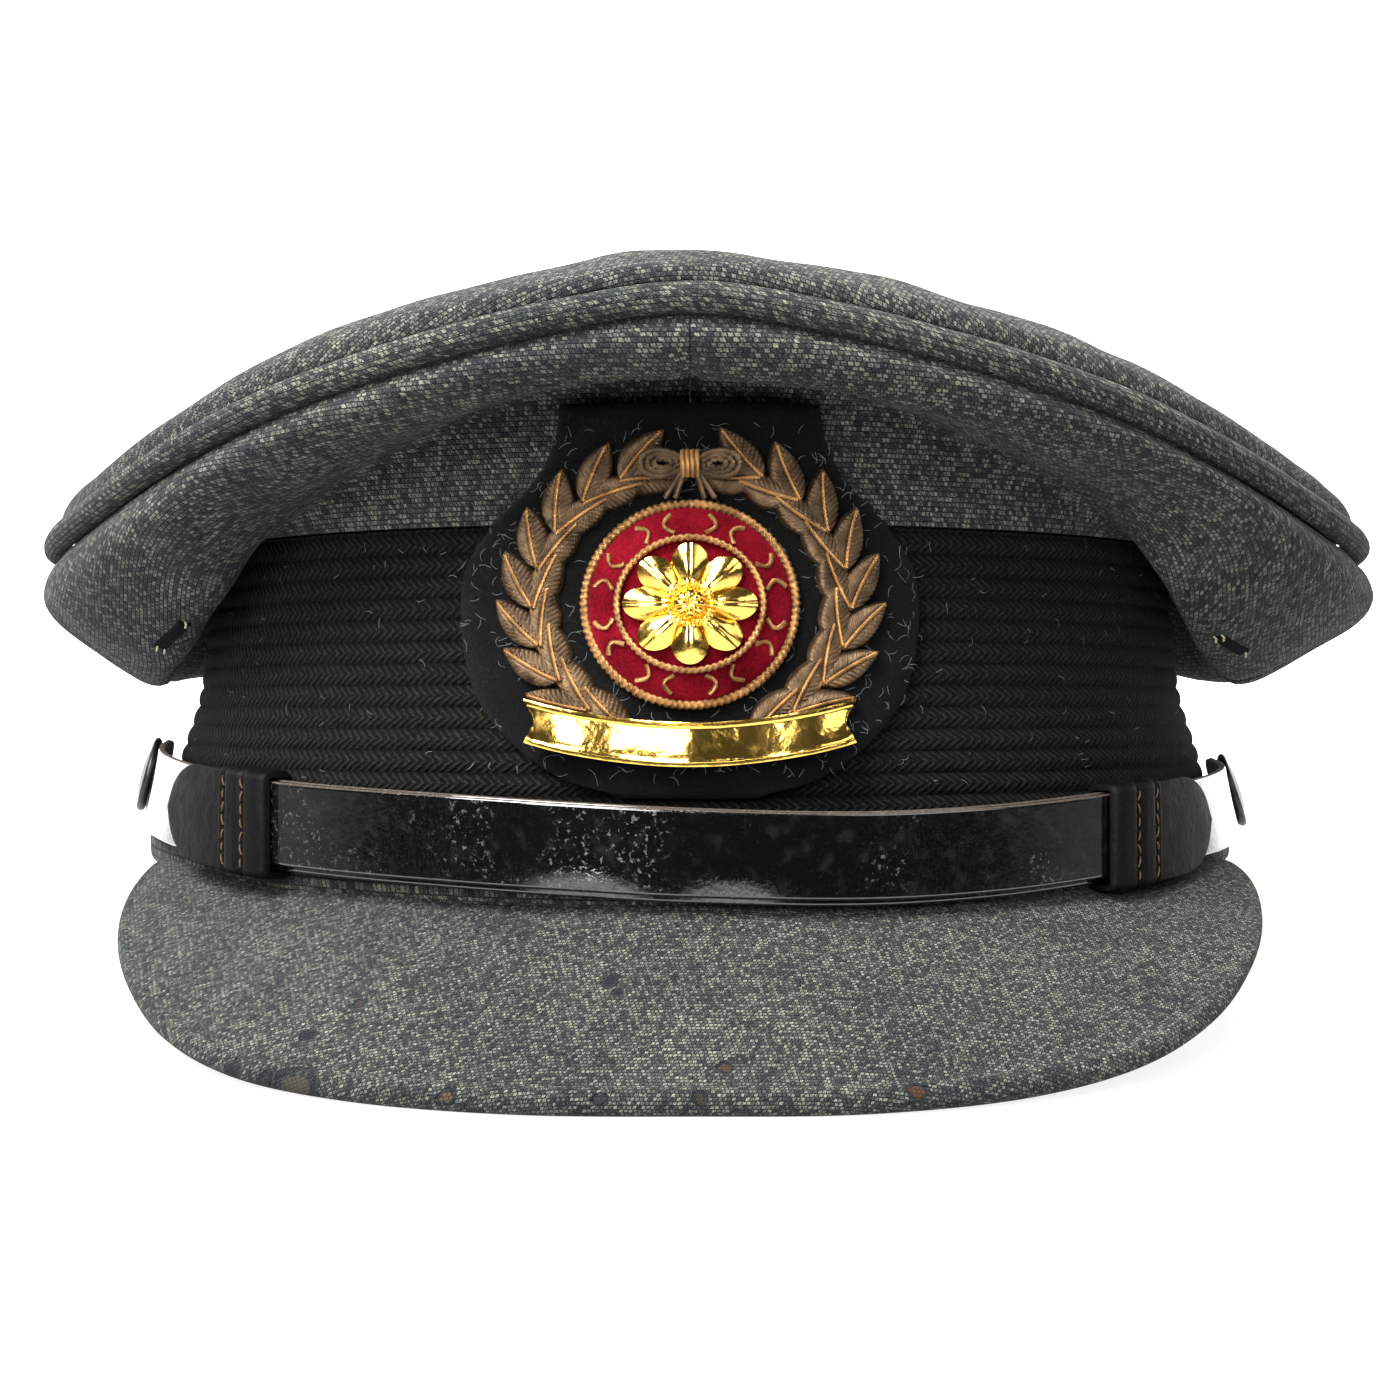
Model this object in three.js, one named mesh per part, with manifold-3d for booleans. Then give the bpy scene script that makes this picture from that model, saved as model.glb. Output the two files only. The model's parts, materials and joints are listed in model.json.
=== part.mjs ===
// A peaked uniform cap: four soft side panels and a top panel on a ribbed band, a cloth-covered peak,
// a two-part leather strap with keepers and side buttons, and an embroidered badge on a felt patch.
// Millimetres. X runs to the viewer's right, the peak points to -Y, +Z is up.
// The pieces are made in the cap's own frame, whose origin is the middle of the band's foot, and the
// whole is then tipped back until it rests on the peak's edge and the back of the band.
// Angles run round the cap from the front, positive to the viewer's right. Left and right are the viewer's.

import * as THREE from 'three';
import { mergeVertices } from 'three/addons/utils/BufferGeometryUtils.js';
import Module from 'manifold-3d';

const wasm = await Module();
wasm.setup();

// Clearance between neighbouring pieces
const GAP = 0.3;

// Head opening and band
const HEAD_WIDTH = 170;
const HEAD_LENGTH = 194;
const BAND_WALL = 2.6;
const BAND_HEIGHT = 52.5;
const BAND_LEAN_SIDE = 7.2;
const BAND_LEAN_FRONT = 3.0;
const FOOT_ARCH = 2.6;

// Rolled cloth edge round the band's foot
const HEM_WALL = 2.4;
const HEM_HEIGHT = 5.4;

// Crown
const CLOTH = 2.0;
const CROWN_HALF_WIDTH = 108.6;
const CROWN_HALF_LENGTH = 121.5;
const CROWN_BACKSET = 3.5;
const CROWN_SWAY = 2.9;
const FRONT_RISE = 28.4;
const WELT_RADIUS = 2.1;
const TOP_PUFF = 7.6;
const TOP_CENTRE_RISE = 25.5;
const SIDE_SEAM_ANGLE = 75;

// Peak
const PEAK_HALF_WIDTH = 85;
const PEAK_FRONT = 131;
const PEAK_DROP = 21.6;
const PEAK_WALL = 3.8;
const PEAK_BULGE = 1.6;
const PEAK_SKEW = 1.3;
const PEAK_ROOT_ANGLE = 67;
const PEAK_TUCK = 1.2;

// Strap, keepers and buttons
const STRAP_WIDTH = 11.8;
const STRAP_WALL = 1.2;
const STRAP_RISE = 10;
const STRAP_END_ANGLE = 85;
const UNDER_STRAP_WIDTH = STRAP_WIDTH + 1.1;
const UNDER_STRAP_SAG = 0.9;
const KEEPER_WALL = 1.1;
const KEEPER_INNER_ANGLE = 38.8;
const KEEPER_LOOP_ANGLE = 45.2;
const KEEPER_TAB_ANGLE = 54.5;
const BUTTON_RADIUS = 6.25;
const BUTTON_HEIGHT = 2.1;
const BUTTON_SHANK_RADIUS = 1.5;
const BUTTON_ANGLE = 80;

// Badge
const PATCH_WALL = 1.5;
const PATCH_HALF_WIDTH = 31;
const PATCH_FOOT = 15;
const PATCH_HEIGHT = 54;
const PATCH_STANDOFF = 1;
const WREATH_HALF_WIDTH = 24.5;
const WREATH_HALF_HEIGHT = 23;
const WREATH_BREADTH = 8;
const WREATH_THICKNESS = 2.2;
const WREATH_CENTRE = 41.5;
const WREATH_LEAVES = 20;
const CUSHION_RADIUS = 14;
const CUSHION_HEIGHT = 4.2;
const ROSETTE_RADIUS = 8.2;
const ROSETTE_THICKNESS = 1.6;
const ROSETTE_PETALS = 8;
const SCROLL_HALF_WIDTH = 21;
const SCROLL_BREADTH = 6;
const SCROLL_THICKNESS = 1.2;
const SCROLL_DIP = 3.2;
const BOW_HALF_WIDTH = 6.4;
const BOW_BREADTH = 5.2;
const BOW_THICKNESS = 1.6;

// How finely the curved pieces are divided
const RING_STEPS = 48;
const SECTION_STEPS = 11;
const TUBE_SIDES = 6;
const PEAK_STEPS = 36;
const PEAK_ROWS = 5;
const STRAP_STEP_ANGLE = 5;

// One row of named values for each row of numbers
function table(columns, ...rows) {
  return rows.map((row) => Object.fromEntries(columns.map((name, i) => [name, row[i]])));
}

// Band: how much of the inward lean each height has reached
const BAND_LEAN = table(
  ['height', 'side', 'front'],
  [0, 0, 0],
  [0.18, 0.08, 0.1],
  [0.37, 0.35, 0.27],
  [0.55, 0.76, 0.6],
  [0.75, 0.94, 0.87],
  [1, 1, 1],
);

// Band foot: lifted at the sides by shares of FOOT_ARCH, level round the back
const FOOT = table(
  ['angle', 'lift'],
  [0, 0],
  [40, 0.3],
  [75, 1],
  [100, 0.9],
  [127.5, 0.25],
  [150, 0],
  [180, 0],
);

// Crown sections from the front to the back. Each height is a share of FRONT_RISE above the band's top,
// and each distance out is a share of the way from the band's top edge to the welt.
// crease is where the cloth turns out, hang its lowest fold, belly and bulge the roll below the welt.
// puff is the share of TOP_PUFF by which the top panel stands above the welt.
const CROWN = table(
  [
    'angle', 'welt', 'creaseOut', 'creaseUp', 'hangOut', 'hangUp',
    'bellyOut', 'bellyUp', 'bulgeOut', 'bulgeUp', 'puff',
  ],
  [0, 1, 0.12, 0.72, 0.5, 0.68, 0.86, 0.65, 1.05, 0.8, 0.8],
  [10, 0.915, 0.12, 0.67, 0.5, 0.64, 0.86, 0.61, 1.05, 0.74, 0.88],
  [20, 0.78, 0.11, 0.55, 0.48, 0.5, 0.84, 0.49, 1.05, 0.61, 0.98],
  [27, 0.675, 0.11, 0.43, 0.46, 0.36, 0.82, 0.36, 1.05, 0.49, 1.04],
  [33, 0.577, 0.1, 0.32, 0.44, 0.24, 0.8, 0.24, 1.06, 0.37, 1.1],
  [40, 0.445, 0.1, 0.17, 0.42, 0.08, 0.78, 0.08, 1.06, 0.22, 1.14],
  [45, 0.35, 0.1, 0.08, 0.4, -0.09, 0.77, -0.08, 1.06, 0.1, 1.16],
  [50, 0.262, 0.1, 0.02, 0.38, -0.27, 0.76, -0.22, 1.07, -0.01, 1.18],
  [56, 0.165, 0.1, -0.03, 0.36, -0.48, 0.75, -0.38, 1.07, -0.13, 1.18],
  [64, 0.08, 0.1, -0.06, 0.33, -0.66, 0.75, -0.52, 1.08, -0.24, 1.16],
  [76, 0.02, 0.1, -0.07, 0.32, -0.73, 0.76, -0.56, 1.08, -0.3, 1.1],
  [95, 0.01, 0.1, -0.07, 0.32, -0.72, 0.76, -0.57, 1.08, -0.31, 1.05],
  [120, 0.05, 0.1, -0.05, 0.33, -0.6, 0.76, -0.5, 1.07, -0.25, 1],
  [150, 0.14, 0.1, 0.02, 0.35, -0.36, 0.76, -0.3, 1.06, -0.08, 1],
  [180, 0.19, 0.1, 0.06, 0.36, -0.24, 0.76, -0.22, 1.05, -0.01, 1],
);

// Top panel from the welt to the middle: share of the puff, and of the way to the middle's height
const TOP = table(
  ['inward', 'puff', 'level'],
  [0, 0, 0],
  [0.02, 0.38, 0],
  [0.055, 0.74, 0.01],
  [0.12, 1, 0.04],
  [0.28, 0.92, 0.25],
  [0.55, 0.5, 0.66],
  [0.8, 0.15, 0.93],
  [1, 0, 1],
);

// Peak edge from the middle of the front towards a corner: shares of PEAK_HALF_WIDTH,
// of the way forward from the corner, and of the way down from the corner
const PEAK_EDGE = table(
  ['side', 'ahead', 'drop'],
  [0, 1, 1],
  [0.28, 0.99, 0.99],
  [0.535, 0.915, 0.94],
  [0.72, 0.805, 0.83],
  [0.85, 0.67, 0.65],
  [0.93, 0.53, 0.44],
  [0.977, 0.385, 0.26],
  [0.995, 0.22, 0.11],
);

// Strap: height of its lower edge as a share of STRAP_RISE, its lean in degrees,
// and how much of the full standoff from the band it keeps
const STRAP = table(
  ['angle', 'rise', 'lean', 'standoff'],
  [-90, 1.05, 16, 0.44],
  [-80, 1, 15, 0.5],
  [-66, 0.83, 9, 0.82],
  [-50, 0.63, 3, 1],
  [-38, 0.5, 0, 1],
  [-20, 0.36, 0, 1],
  [0, 0.2, 0, 1],
  [15, 0.14, 0, 1],
  [27, 0.2, 0, 1],
  [38, 0.32, 0, 1],
  [50, 0.44, 3, 1],
  [66, 0.58, 10, 0.72],
  [80, 0.69, 18, 0.3],
  [90, 0.7, 19, 0.24],
);

// Badge patch: half widths as shares of PATCH_HALF_WIDTH, from the foot up
const PATCH = table(
  ['height', 'half'],
  [0, 0.3],
  [0.04, 0.52],
  [0.12, 0.74],
  [0.24, 0.92],
  [0.4, 1],
  [0.58, 0.99],
  [0.7, 0.86],
  [0.8, 0.68],
  [0.9, 0.58],
  [1, 0.55],
);

// Slope of one column at a row of a table, level at both ends
function slopeAt(rows, by, name, i) {
  if (i === 0 || i === rows.length - 1) {
    return 0;
  }
  return (rows[i + 1][name] - rows[i - 1][name]) / (rows[i + 1][by] - rows[i - 1][by]);
}

// Smooth value of one column of a table at a place between its rows
function along(rows, by, name, place) {
  let i = 0;
  while (i < rows.length - 2 && rows[i + 1][by] < place) {
    i += 1;
  }
  const span = rows[i + 1][by] - rows[i][by];
  const t = THREE.MathUtils.clamp((place - rows[i][by]) / span, 0, 1);
  const rise = rows[i + 1][name] - rows[i][name];
  const startSlope = slopeAt(rows, by, name, i) * span;
  const endSlope = slopeAt(rows, by, name, i + 1) * span;
  return rows[i][name] + t * t * (3 - 2 * t) * rise
    + t * (1 - t) * (1 - t) * startSlope - t * t * (1 - t) * endSlope;
}

// Even steps from one number to another, both included
function steps(from, to, count) {
  return Array.from({ length: count + 1 }, (_, i) => from + (to - from) * i / count);
}

function point(x, y, z) {
  return new THREE.Vector3(x, y, z);
}

// Point on an oval round the cap at an angle in degrees
function oval(halfWidth, halfLength, angle, z) {
  const turn = THREE.MathUtils.degToRad(angle);
  return point(halfWidth * Math.sin(turn), -halfLength * Math.cos(turn), z);
}

// Level direction square to such an oval, pointing away from the cap
function outward(halfWidth, halfLength, angle) {
  const turn = THREE.MathUtils.degToRad(angle);
  return point(Math.sin(turn) / halfWidth, -Math.cos(turn) / halfLength, 0).normalize();
}

// Closed body from triangles given as triples of points: shared corners are merged,
// triangles with no area go, and the faces are turned to point out
function solidFrom(corners) {
  const loose = new THREE.BufferGeometry().setFromPoints(corners);
  const merged = mergeVertices(loose, 1e-3);
  const places = merged.getAttribute('position');
  const index = merged.getIndex().array;
  const kept = [];
  let volume = 0;
  for (let i = 0; i < index.length; i += 3) {
    const [a, b, c] = [index[i], index[i + 1], index[i + 2]];
    if (a !== b && b !== c && c !== a) {
      kept.push(a, b, c);
      const [pa, pb, pc] = [a, b, c].map((n) => new THREE.Vector3().fromBufferAttribute(places, n));
      volume += pa.dot(pb.cross(pc));
    }
  }
  merged.setIndex(volume < 0 ? kept.reverse() : kept);
  merged.computeVertexNormals();
  return merged;
}

// Two triangles for each cell between two neighbouring rows of points
function skin(corners, lower, upper) {
  for (let j = 0; j + 1 < lower.length; j += 1) {
    corners.push(lower[j], upper[j], upper[j + 1], lower[j], upper[j + 1], lower[j + 1]);
  }
}

// Wall between a face and its back, each a list of rows of points. A ring joins its last row to its first.
function wall(face, back, ring) {
  const corners = [];
  const loops = face.map((row, i) => [...row, ...back[i].slice().reverse(), row[0]]);
  const count = ring ? loops.length : loops.length - 1;
  for (let i = 0; i < count; i += 1) {
    skin(corners, loops[i], loops[(i + 1) % loops.length]);
  }
  if (!ring) {
    skin(corners, back[0], face[0]);
    skin(corners, face[face.length - 1], back[back.length - 1]);
  }
  return solidFrom(corners);
}

// Closed tube whose sections are loops of points, joined end to end
function tube(sections) {
  const loops = sections.map((section) => [...section, section[0]]);
  const corners = [];
  loops.forEach((loop, i) => skin(corners, loop, loops[(i + 1) % loops.length]));
  return solidFrom(corners);
}

function toManifold(geometry) {
  return new wasm.Manifold(new wasm.Mesh({
    numProp: 3,
    vertProperties: geometry.getAttribute('position').array,
    triVerts: Uint32Array.from(geometry.getIndex().array),
  }));
}

function fromManifold(body) {
  const mesh = body.getMesh();
  const geometry = new THREE.BufferGeometry();
  geometry.setAttribute('position', new THREE.BufferAttribute(mesh.vertProperties, 3));
  geometry.setIndex(new THREE.BufferAttribute(mesh.triVerts, 1));
  geometry.computeVertexNormals();
  return geometry;
}

function finish(color, roughness, metalness) {
  return new THREE.MeshStandardMaterial({ color, roughness, metalness });
}

const CLOTH_BLUE = finish(0x55616b, 0.95, 0);
const BAND_BLACK = finish(0x17181a, 0.95, 0);
const PATENT_BLACK = finish(0x0b0b0c, 0.15, 0);
const BUTTON_BLACK = finish(0x1b1b1c, 0.45, 0);
const FELT_BLACK = finish(0x101112, 1, 0);
const BULLION = finish(0x6b5537, 0.5, 0.7);
const VELVET_RED = finish(0xa5102d, 0.9, 0);
const GILT = finish(0xe0b040, 0.25, 1);

// Band

const bandFoot = { halfWidth: HEAD_WIDTH / 2 + BAND_WALL, halfLength: HEAD_LENGTH / 2 + BAND_WALL };
const bandTop = {
  halfWidth: bandFoot.halfWidth - BAND_LEAN_SIDE,
  halfLength: bandFoot.halfLength - BAND_LEAN_FRONT,
};

function footHeight(angle) {
  return FOOT_ARCH * along(FOOT, 'angle', 'lift', Math.abs(angle));
}

// Point of the band's wall at a height, a distance out from its outer face
function bandPoint(angle, z, out) {
  const share = z / BAND_HEIGHT;
  const halfWidth = bandFoot.halfWidth - BAND_LEAN_SIDE * along(BAND_LEAN, 'height', 'side', share);
  const halfLength = bandFoot.halfLength - BAND_LEAN_FRONT * along(BAND_LEAN, 'height', 'front', share);
  return oval(halfWidth + out, halfLength + out, angle, z);
}

function ringAngles() {
  return steps(-180, 180, RING_STEPS).slice(0, RING_STEPS);
}

function bandGeometry() {
  const rowAt = (angle, out) => BAND_LEAN.map(({ height }) => {
    const z = THREE.MathUtils.lerp(footHeight(angle), BAND_HEIGHT, height);
    return bandPoint(angle, z, out);
  });
  const face = ringAngles().map((angle) => rowAt(angle, 0));
  const back = ringAngles().map((angle) => rowAt(angle, -BAND_WALL));
  return wall(face, back, true);
}

// Rounded roll of cloth round the foot, outside the band
function hemGeometry() {
  const inner = bandFoot.halfWidth + GAP;
  const innerLength = bandFoot.halfLength + GAP;
  const outline = table(
    ['out', 'up'],
    [0, 0],
    [0.6, 0],
    [1, 0.3],
    [1, 0.75],
    [0.6, 1],
    [0, 1],
  );
  return tube(ringAngles().map((angle) => outline.map(({ out, up }) => {
    const reach = out * HEM_WALL;
    return oval(inner + reach, innerLength + reach, angle, footHeight(angle) + up * HEM_HEIGHT);
  })));
}

// Crown

// Middle of the welt at an angle
function weltPoint(angle) {
  const turn = THREE.MathUtils.degToRad(angle);
  const rise = FRONT_RISE * along(CROWN, 'angle', 'welt', Math.abs(angle));
  return point(
    CROWN_HALF_WIDTH * Math.sin(turn) + CROWN_SWAY * Math.sin(turn) ** 2,
    CROWN_BACKSET - CROWN_HALF_LENGTH * Math.cos(turn),
    BAND_HEIGHT + rise,
  );
}

// Level frame of one crown section: where it starts on the band's top edge, and the way to the welt
function crownFrame(angle) {
  const start = oval(bandTop.halfWidth, bandTop.halfLength, angle, BAND_HEIGHT);
  const welt = weltPoint(angle);
  const out = point(welt.x - start.x, welt.y - start.y, 0);
  return { start, welt, reach: out.length(), out: out.normalize() };
}

// One section of a side panel as distances out and up from the band's top edge
function quarterProfile(angle) {
  const { welt, reach } = crownFrame(angle);
  const turnedIn = WELT_RADIUS + GAP;
  const knots = ['crease', 'hang', 'belly', 'bulge'].map((name) => point(
    reach * along(CROWN, 'angle', `${name}Out`, Math.abs(angle)),
    FRONT_RISE * along(CROWN, 'angle', `${name}Up`, Math.abs(angle)),
    0,
  ));
  const lip = point(reach + 0.3 * WELT_RADIUS, welt.z - BAND_HEIGHT - turnedIn, 0);
  const curve = new THREE.CatmullRomCurve3([point(0, GAP, 0), ...knots, lip]);
  return steps(0, 1, SECTION_STEPS).map((t) => ({
    place: curve.getPointAt(t),
    along: curve.getTangentAt(t),
  }));
}

// A row of face points and a row of back points for one section of a side panel
function quarterRows(angle) {
  const { start, out } = crownFrame(angle);
  const lift = (across, up) => start.clone().addScaledVector(out, across).add(point(0, 0, up));
  const profile = quarterProfile(angle);
  return {
    face: profile.map(({ place }) => lift(place.x, place.y)),
    back: profile.map(({ place, along: way }) => lift(place.x - way.y * CLOTH, place.y + way.x * CLOTH)),
  };
}

function quarterGeometry(fromAngle, toAngle) {
  const seam = THREE.MathUtils.radToDeg(GAP / 2 / bandTop.halfWidth);
  const ringStep = 360 / RING_STEPS;
  const count = Math.round((toAngle - fromAngle) / ringStep);
  const rows = steps(fromAngle, toAngle, count);
  rows[0] += seam;
  rows[count] -= seam;
  const sections = rows.map(quarterRows);
  return wall(sections.map(({ face }) => face), sections.map(({ back }) => back), false);
}

// Piping of constant thickness along the crown's edge
function weltGeometry() {
  return tube(ringAngles().map((angle) => {
    const { welt, out } = crownFrame(angle);
    return steps(0, 360, TUBE_SIDES).slice(0, TUBE_SIDES).map((side) => {
      const turn = THREE.MathUtils.degToRad(side + 180 / TUBE_SIDES);
      return welt.clone()
        .addScaledVector(out, WELT_RADIUS * Math.cos(turn))
        .add(point(0, 0, WELT_RADIUS * Math.sin(turn)));
    });
  }));
}

// Point of the top panel's face, a share of the way in from the welt
function topPoint(angle, inward, middle) {
  const { welt } = crownFrame(angle);
  const seated = welt.z + WELT_RADIUS + GAP;
  const place = welt.clone().lerp(middle, inward);
  const level = along(TOP, 'inward', 'level', inward);
  const fullness = along(CROWN, 'angle', 'puff', Math.abs(angle));
  const puff = TOP_PUFF * fullness * along(TOP, 'inward', 'puff', inward);
  place.z = THREE.MathUtils.lerp(seated, middle.z, level) + puff;
  return place;
}

function topGeometry() {
  const middle = point(0, CROWN_BACKSET, BAND_HEIGHT + TOP_CENTRE_RISE);
  const inset = CLOTH / CROWN_HALF_WIDTH;
  const face = ringAngles().map((angle) => TOP.map(({ inward }) => topPoint(angle, inward, middle)));
  const back = ringAngles().map((angle) => TOP.map(({ inward }) => {
    const place = topPoint(angle, inward, middle);
    const edge = 1 - inward;
    place.lerp(middle.clone().setZ(place.z), inset * edge);
    place.z -= CLOTH * Math.min(1, inward / TOP[2].inward);
    return place;
  }));
  return wall(face, back, true);
}

// Peak

// Edge of the peak's upper face as one curve from the left corner to the right one
function peakEdgeCurve(left, right) {
  const half = (corner, sign) => PEAK_EDGE.map(({ side, ahead, drop }) => point(
    sign * side * PEAK_HALF_WIDTH,
    THREE.MathUtils.lerp(corner.y, -PEAK_FRONT, ahead),
    THREE.MathUtils.lerp(corner.z, -PEAK_DROP, drop) + sign * PEAK_SKEW * side ** 3,
  ));
  const leftHalf = half(left, -1).reverse();
  const rightHalf = half(right, 1).slice(1);
  return new THREE.CatmullRomCurve3([left, ...leftHalf, ...rightHalf, right]);
}

function peakGeometry() {
  const rootWidth = bandFoot.halfWidth + GAP + HEM_WALL - PEAK_TUCK;
  const rootLength = bandFoot.halfLength + GAP + HEM_WALL - PEAK_TUCK;
  const root = (angle) => oval(rootWidth, rootLength, angle, footHeight(angle) - GAP);
  const edge = peakEdgeCurve(root(-PEAK_ROOT_ANGLE), root(PEAK_ROOT_ANGLE));
  const down = point(0, 0, -PEAK_WALL);
  const rowAt = (share) => {
    const rootPoint = root(THREE.MathUtils.lerp(-PEAK_ROOT_ANGLE, PEAK_ROOT_ANGLE, share));
    const edgePoint = edge.getPointAt(share);
    const breadth = rootPoint.distanceTo(edgePoint);
    const nose = Math.min(0.5, PEAK_WALL / 2 / Math.max(breadth, PEAK_WALL));
    const face = steps(0, 1 - nose, PEAK_ROWS).map((t) => {
      const place = rootPoint.clone().lerp(edgePoint, t);
      place.z += Math.min(PEAK_BULGE, breadth / 4) * 4 * t * (1 - t);
      return place;
    });
    const tip = edgePoint.clone().addScaledVector(down, 0.5);
    return { face: [...face, tip], back: [...face.map((place) => place.clone().add(down)), tip] };
  };
  const rows = steps(0, 1, PEAK_STEPS).map(rowAt);
  return wall(rows.map(({ face }) => face), rows.map(({ back }) => back), false);
}

// Strap

// Distance from the band's foot to the strap's inner face: over the hem, with room for a keeper's back
const STRAP_STANDOFF = GAP + HEM_WALL + GAP + KEEPER_WALL + GAP;

// Frame of the strap at an angle: the middle of its lower edge, up along its width, and out from its face
function strapFrame(angle) {
  const lean = THREE.MathUtils.degToRad(along(STRAP, 'angle', 'lean', angle));
  const standoff = STRAP_STANDOFF * along(STRAP, 'angle', 'standoff', angle);
  const halfWidth = bandFoot.halfWidth + standoff;
  const halfLength = bandFoot.halfLength + standoff;
  const out = outward(halfWidth, halfLength, angle);
  const up = point(0, 0, 1);
  return {
    foot: oval(halfWidth, halfLength, angle, STRAP_RISE * along(STRAP, 'angle', 'rise', angle)),
    across: out.clone().multiplyScalar(-Math.sin(lean)).addScaledVector(up, Math.cos(lean)),
    out: out.clone().multiplyScalar(Math.cos(lean)).addScaledVector(up, Math.sin(lean)),
  };
}

function strapPoint(angle, across, lift) {
  const frame = strapFrame(angle);
  return frame.foot.addScaledVector(frame.across, across).addScaledVector(frame.out, lift);
}

// Piece of strap between two angles: from low to high across it and from near to far off the band.
// A round end closes in a half circle at the second angle.
function strapBlock(fromAngle, toAngle, low, high, near, far, roundEnd) {
  const middle = (low + high) / 2;
  const half = (high - low) / 2;
  const count = Math.ceil(Math.abs(toAngle - fromAngle) / STRAP_STEP_ANGLE);
  const stations = steps(fromAngle, toAngle, count).map((angle) => ({ angle, half }));
  if (roundEnd) {
    const sign = Math.sign(toAngle - fromAngle);
    const radiusAngle = THREE.MathUtils.radToDeg(half / bandFoot.halfLength);
    stations.splice(-1);
    while (Math.abs(toAngle - stations[stations.length - 1].angle) < radiusAngle * 1.3) {
      stations.splice(-1);
    }
    steps(0, 90, 6).forEach((turn) => {
      const bend = THREE.MathUtils.degToRad(turn);
      const angle = toAngle - sign * radiusAngle * (1 - Math.sin(bend));
      stations.push({ angle, half: half * Math.cos(bend) });
    });
  }
  const rows = (lift) => stations.map(({ angle, half: reach }) => [
    strapPoint(angle, middle - reach, lift),
    strapPoint(angle, middle + reach, lift),
  ]);
  return wall(rows(far), rows(near), false);
}

const UNDER_STRAP_TOP = UNDER_STRAP_WIDTH - UNDER_STRAP_SAG;
const UPPER_NEAR = STRAP_WALL + GAP;
const UPPER_FAR = UPPER_NEAR + STRAP_WALL;

// Cutter or body turned to stand on the strap at a button, its Y axis pointing out
function onStrap(geometry, angle, lift) {
  const { out } = strapFrame(angle);
  const place = strapPoint(angle, STRAP_WIDTH / 2, lift);
  const turn = new THREE.Quaternion().setFromUnitVectors(point(0, 1, 0), out);
  geometry.applyQuaternion(turn);
  geometry.translate(place.x, place.y, place.z);
  return geometry;
}

function closed(geometry) {
  geometry.deleteAttribute('normal');
  geometry.deleteAttribute('uv');
  return solidFrom(pointsOf(geometry.toNonIndexed()));
}

function pointsOf(geometry) {
  const places = geometry.getAttribute('position');
  return Array.from({ length: places.count }, (_, i) => new THREE.Vector3().fromBufferAttribute(places, i));
}

// One half of the strap, with a hole for the button's shank at its outer end
function strapGeometry(side, low, high, near) {
  const innerAngle = -side * KEEPER_LOOP_ANGLE;
  const outerAngle = side * STRAP_END_ANGLE;
  const body = strapBlock(innerAngle, outerAngle, low, high, near, near + STRAP_WALL, true);
  const drill = closed(new THREE.CylinderGeometry(
    BUTTON_SHANK_RADIUS + GAP,
    BUTTON_SHANK_RADIUS + GAP,
    4 * STRAP_WALL,
    12,
  ));
  onStrap(drill, side * BUTTON_ANGLE, near + STRAP_WALL / 2);
  return fromManifold(toManifold(body).subtract(toManifold(drill)));
}

// Leather loop round both halves of the strap, with a rounded tab on its face
function keeperGeometry(side) {
  const innerAngle = side * KEEPER_INNER_ANGLE;
  const loopAngle = side * KEEPER_LOOP_ANGLE;
  const low = -UNDER_STRAP_SAG - GAP;
  const high = UNDER_STRAP_TOP + GAP;
  const plate = UPPER_FAR + GAP;
  const outer = strapBlock(
    innerAngle,
    loopAngle,
    low - KEEPER_WALL,
    high + KEEPER_WALL,
    -GAP - KEEPER_WALL,
    plate + KEEPER_WALL,
    false,
  );
  const passage = strapBlock(innerAngle - side * 2, loopAngle + side * 2, low, high, -GAP, plate, false);
  const tab = strapBlock(
    innerAngle + side,
    side * KEEPER_TAB_ANGLE,
    low - KEEPER_WALL / 2,
    high + KEEPER_WALL / 2,
    plate + KEEPER_WALL / 4,
    plate + KEEPER_WALL * 5 / 4,
    true,
  );
  return fromManifold(toManifold(outer).subtract(toManifold(passage)).add(toManifold(tab)));
}

// Distance from a point on the strap to the band's face along the strap's own inward direction
function depthToBand(angle, lift) {
  const { out } = strapFrame(angle);
  const place = strapPoint(angle, STRAP_WIDTH / 2, lift);
  const onBand = bandPoint(angle, place.z, 0);
  return place.sub(onBand).dot(out);
}

// Low domed button with a shank that goes through the strap to the band
function buttonGeometry(side, lift) {
  const shank = depthToBand(side * BUTTON_ANGLE, lift) - GAP;
  const outline = [
    [0, -shank],
    [BUTTON_SHANK_RADIUS, -shank],
    [BUTTON_SHANK_RADIUS, 0],
    [0.88 * BUTTON_RADIUS, 0],
    [BUTTON_RADIUS, 0.3 * BUTTON_HEIGHT],
    [0.9 * BUTTON_RADIUS, 0.68 * BUTTON_HEIGHT],
    [0.5 * BUTTON_RADIUS, 0.94 * BUTTON_HEIGHT],
    [0, BUTTON_HEIGHT],
  ];
  const turned = new THREE.LatheGeometry(outline.map(([r, h]) => new THREE.Vector2(r, h)), 24);
  return onStrap(closed(turned), side * BUTTON_ANGLE, lift);
}

// Badge

const crownFront = crownFrame(0);

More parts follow.
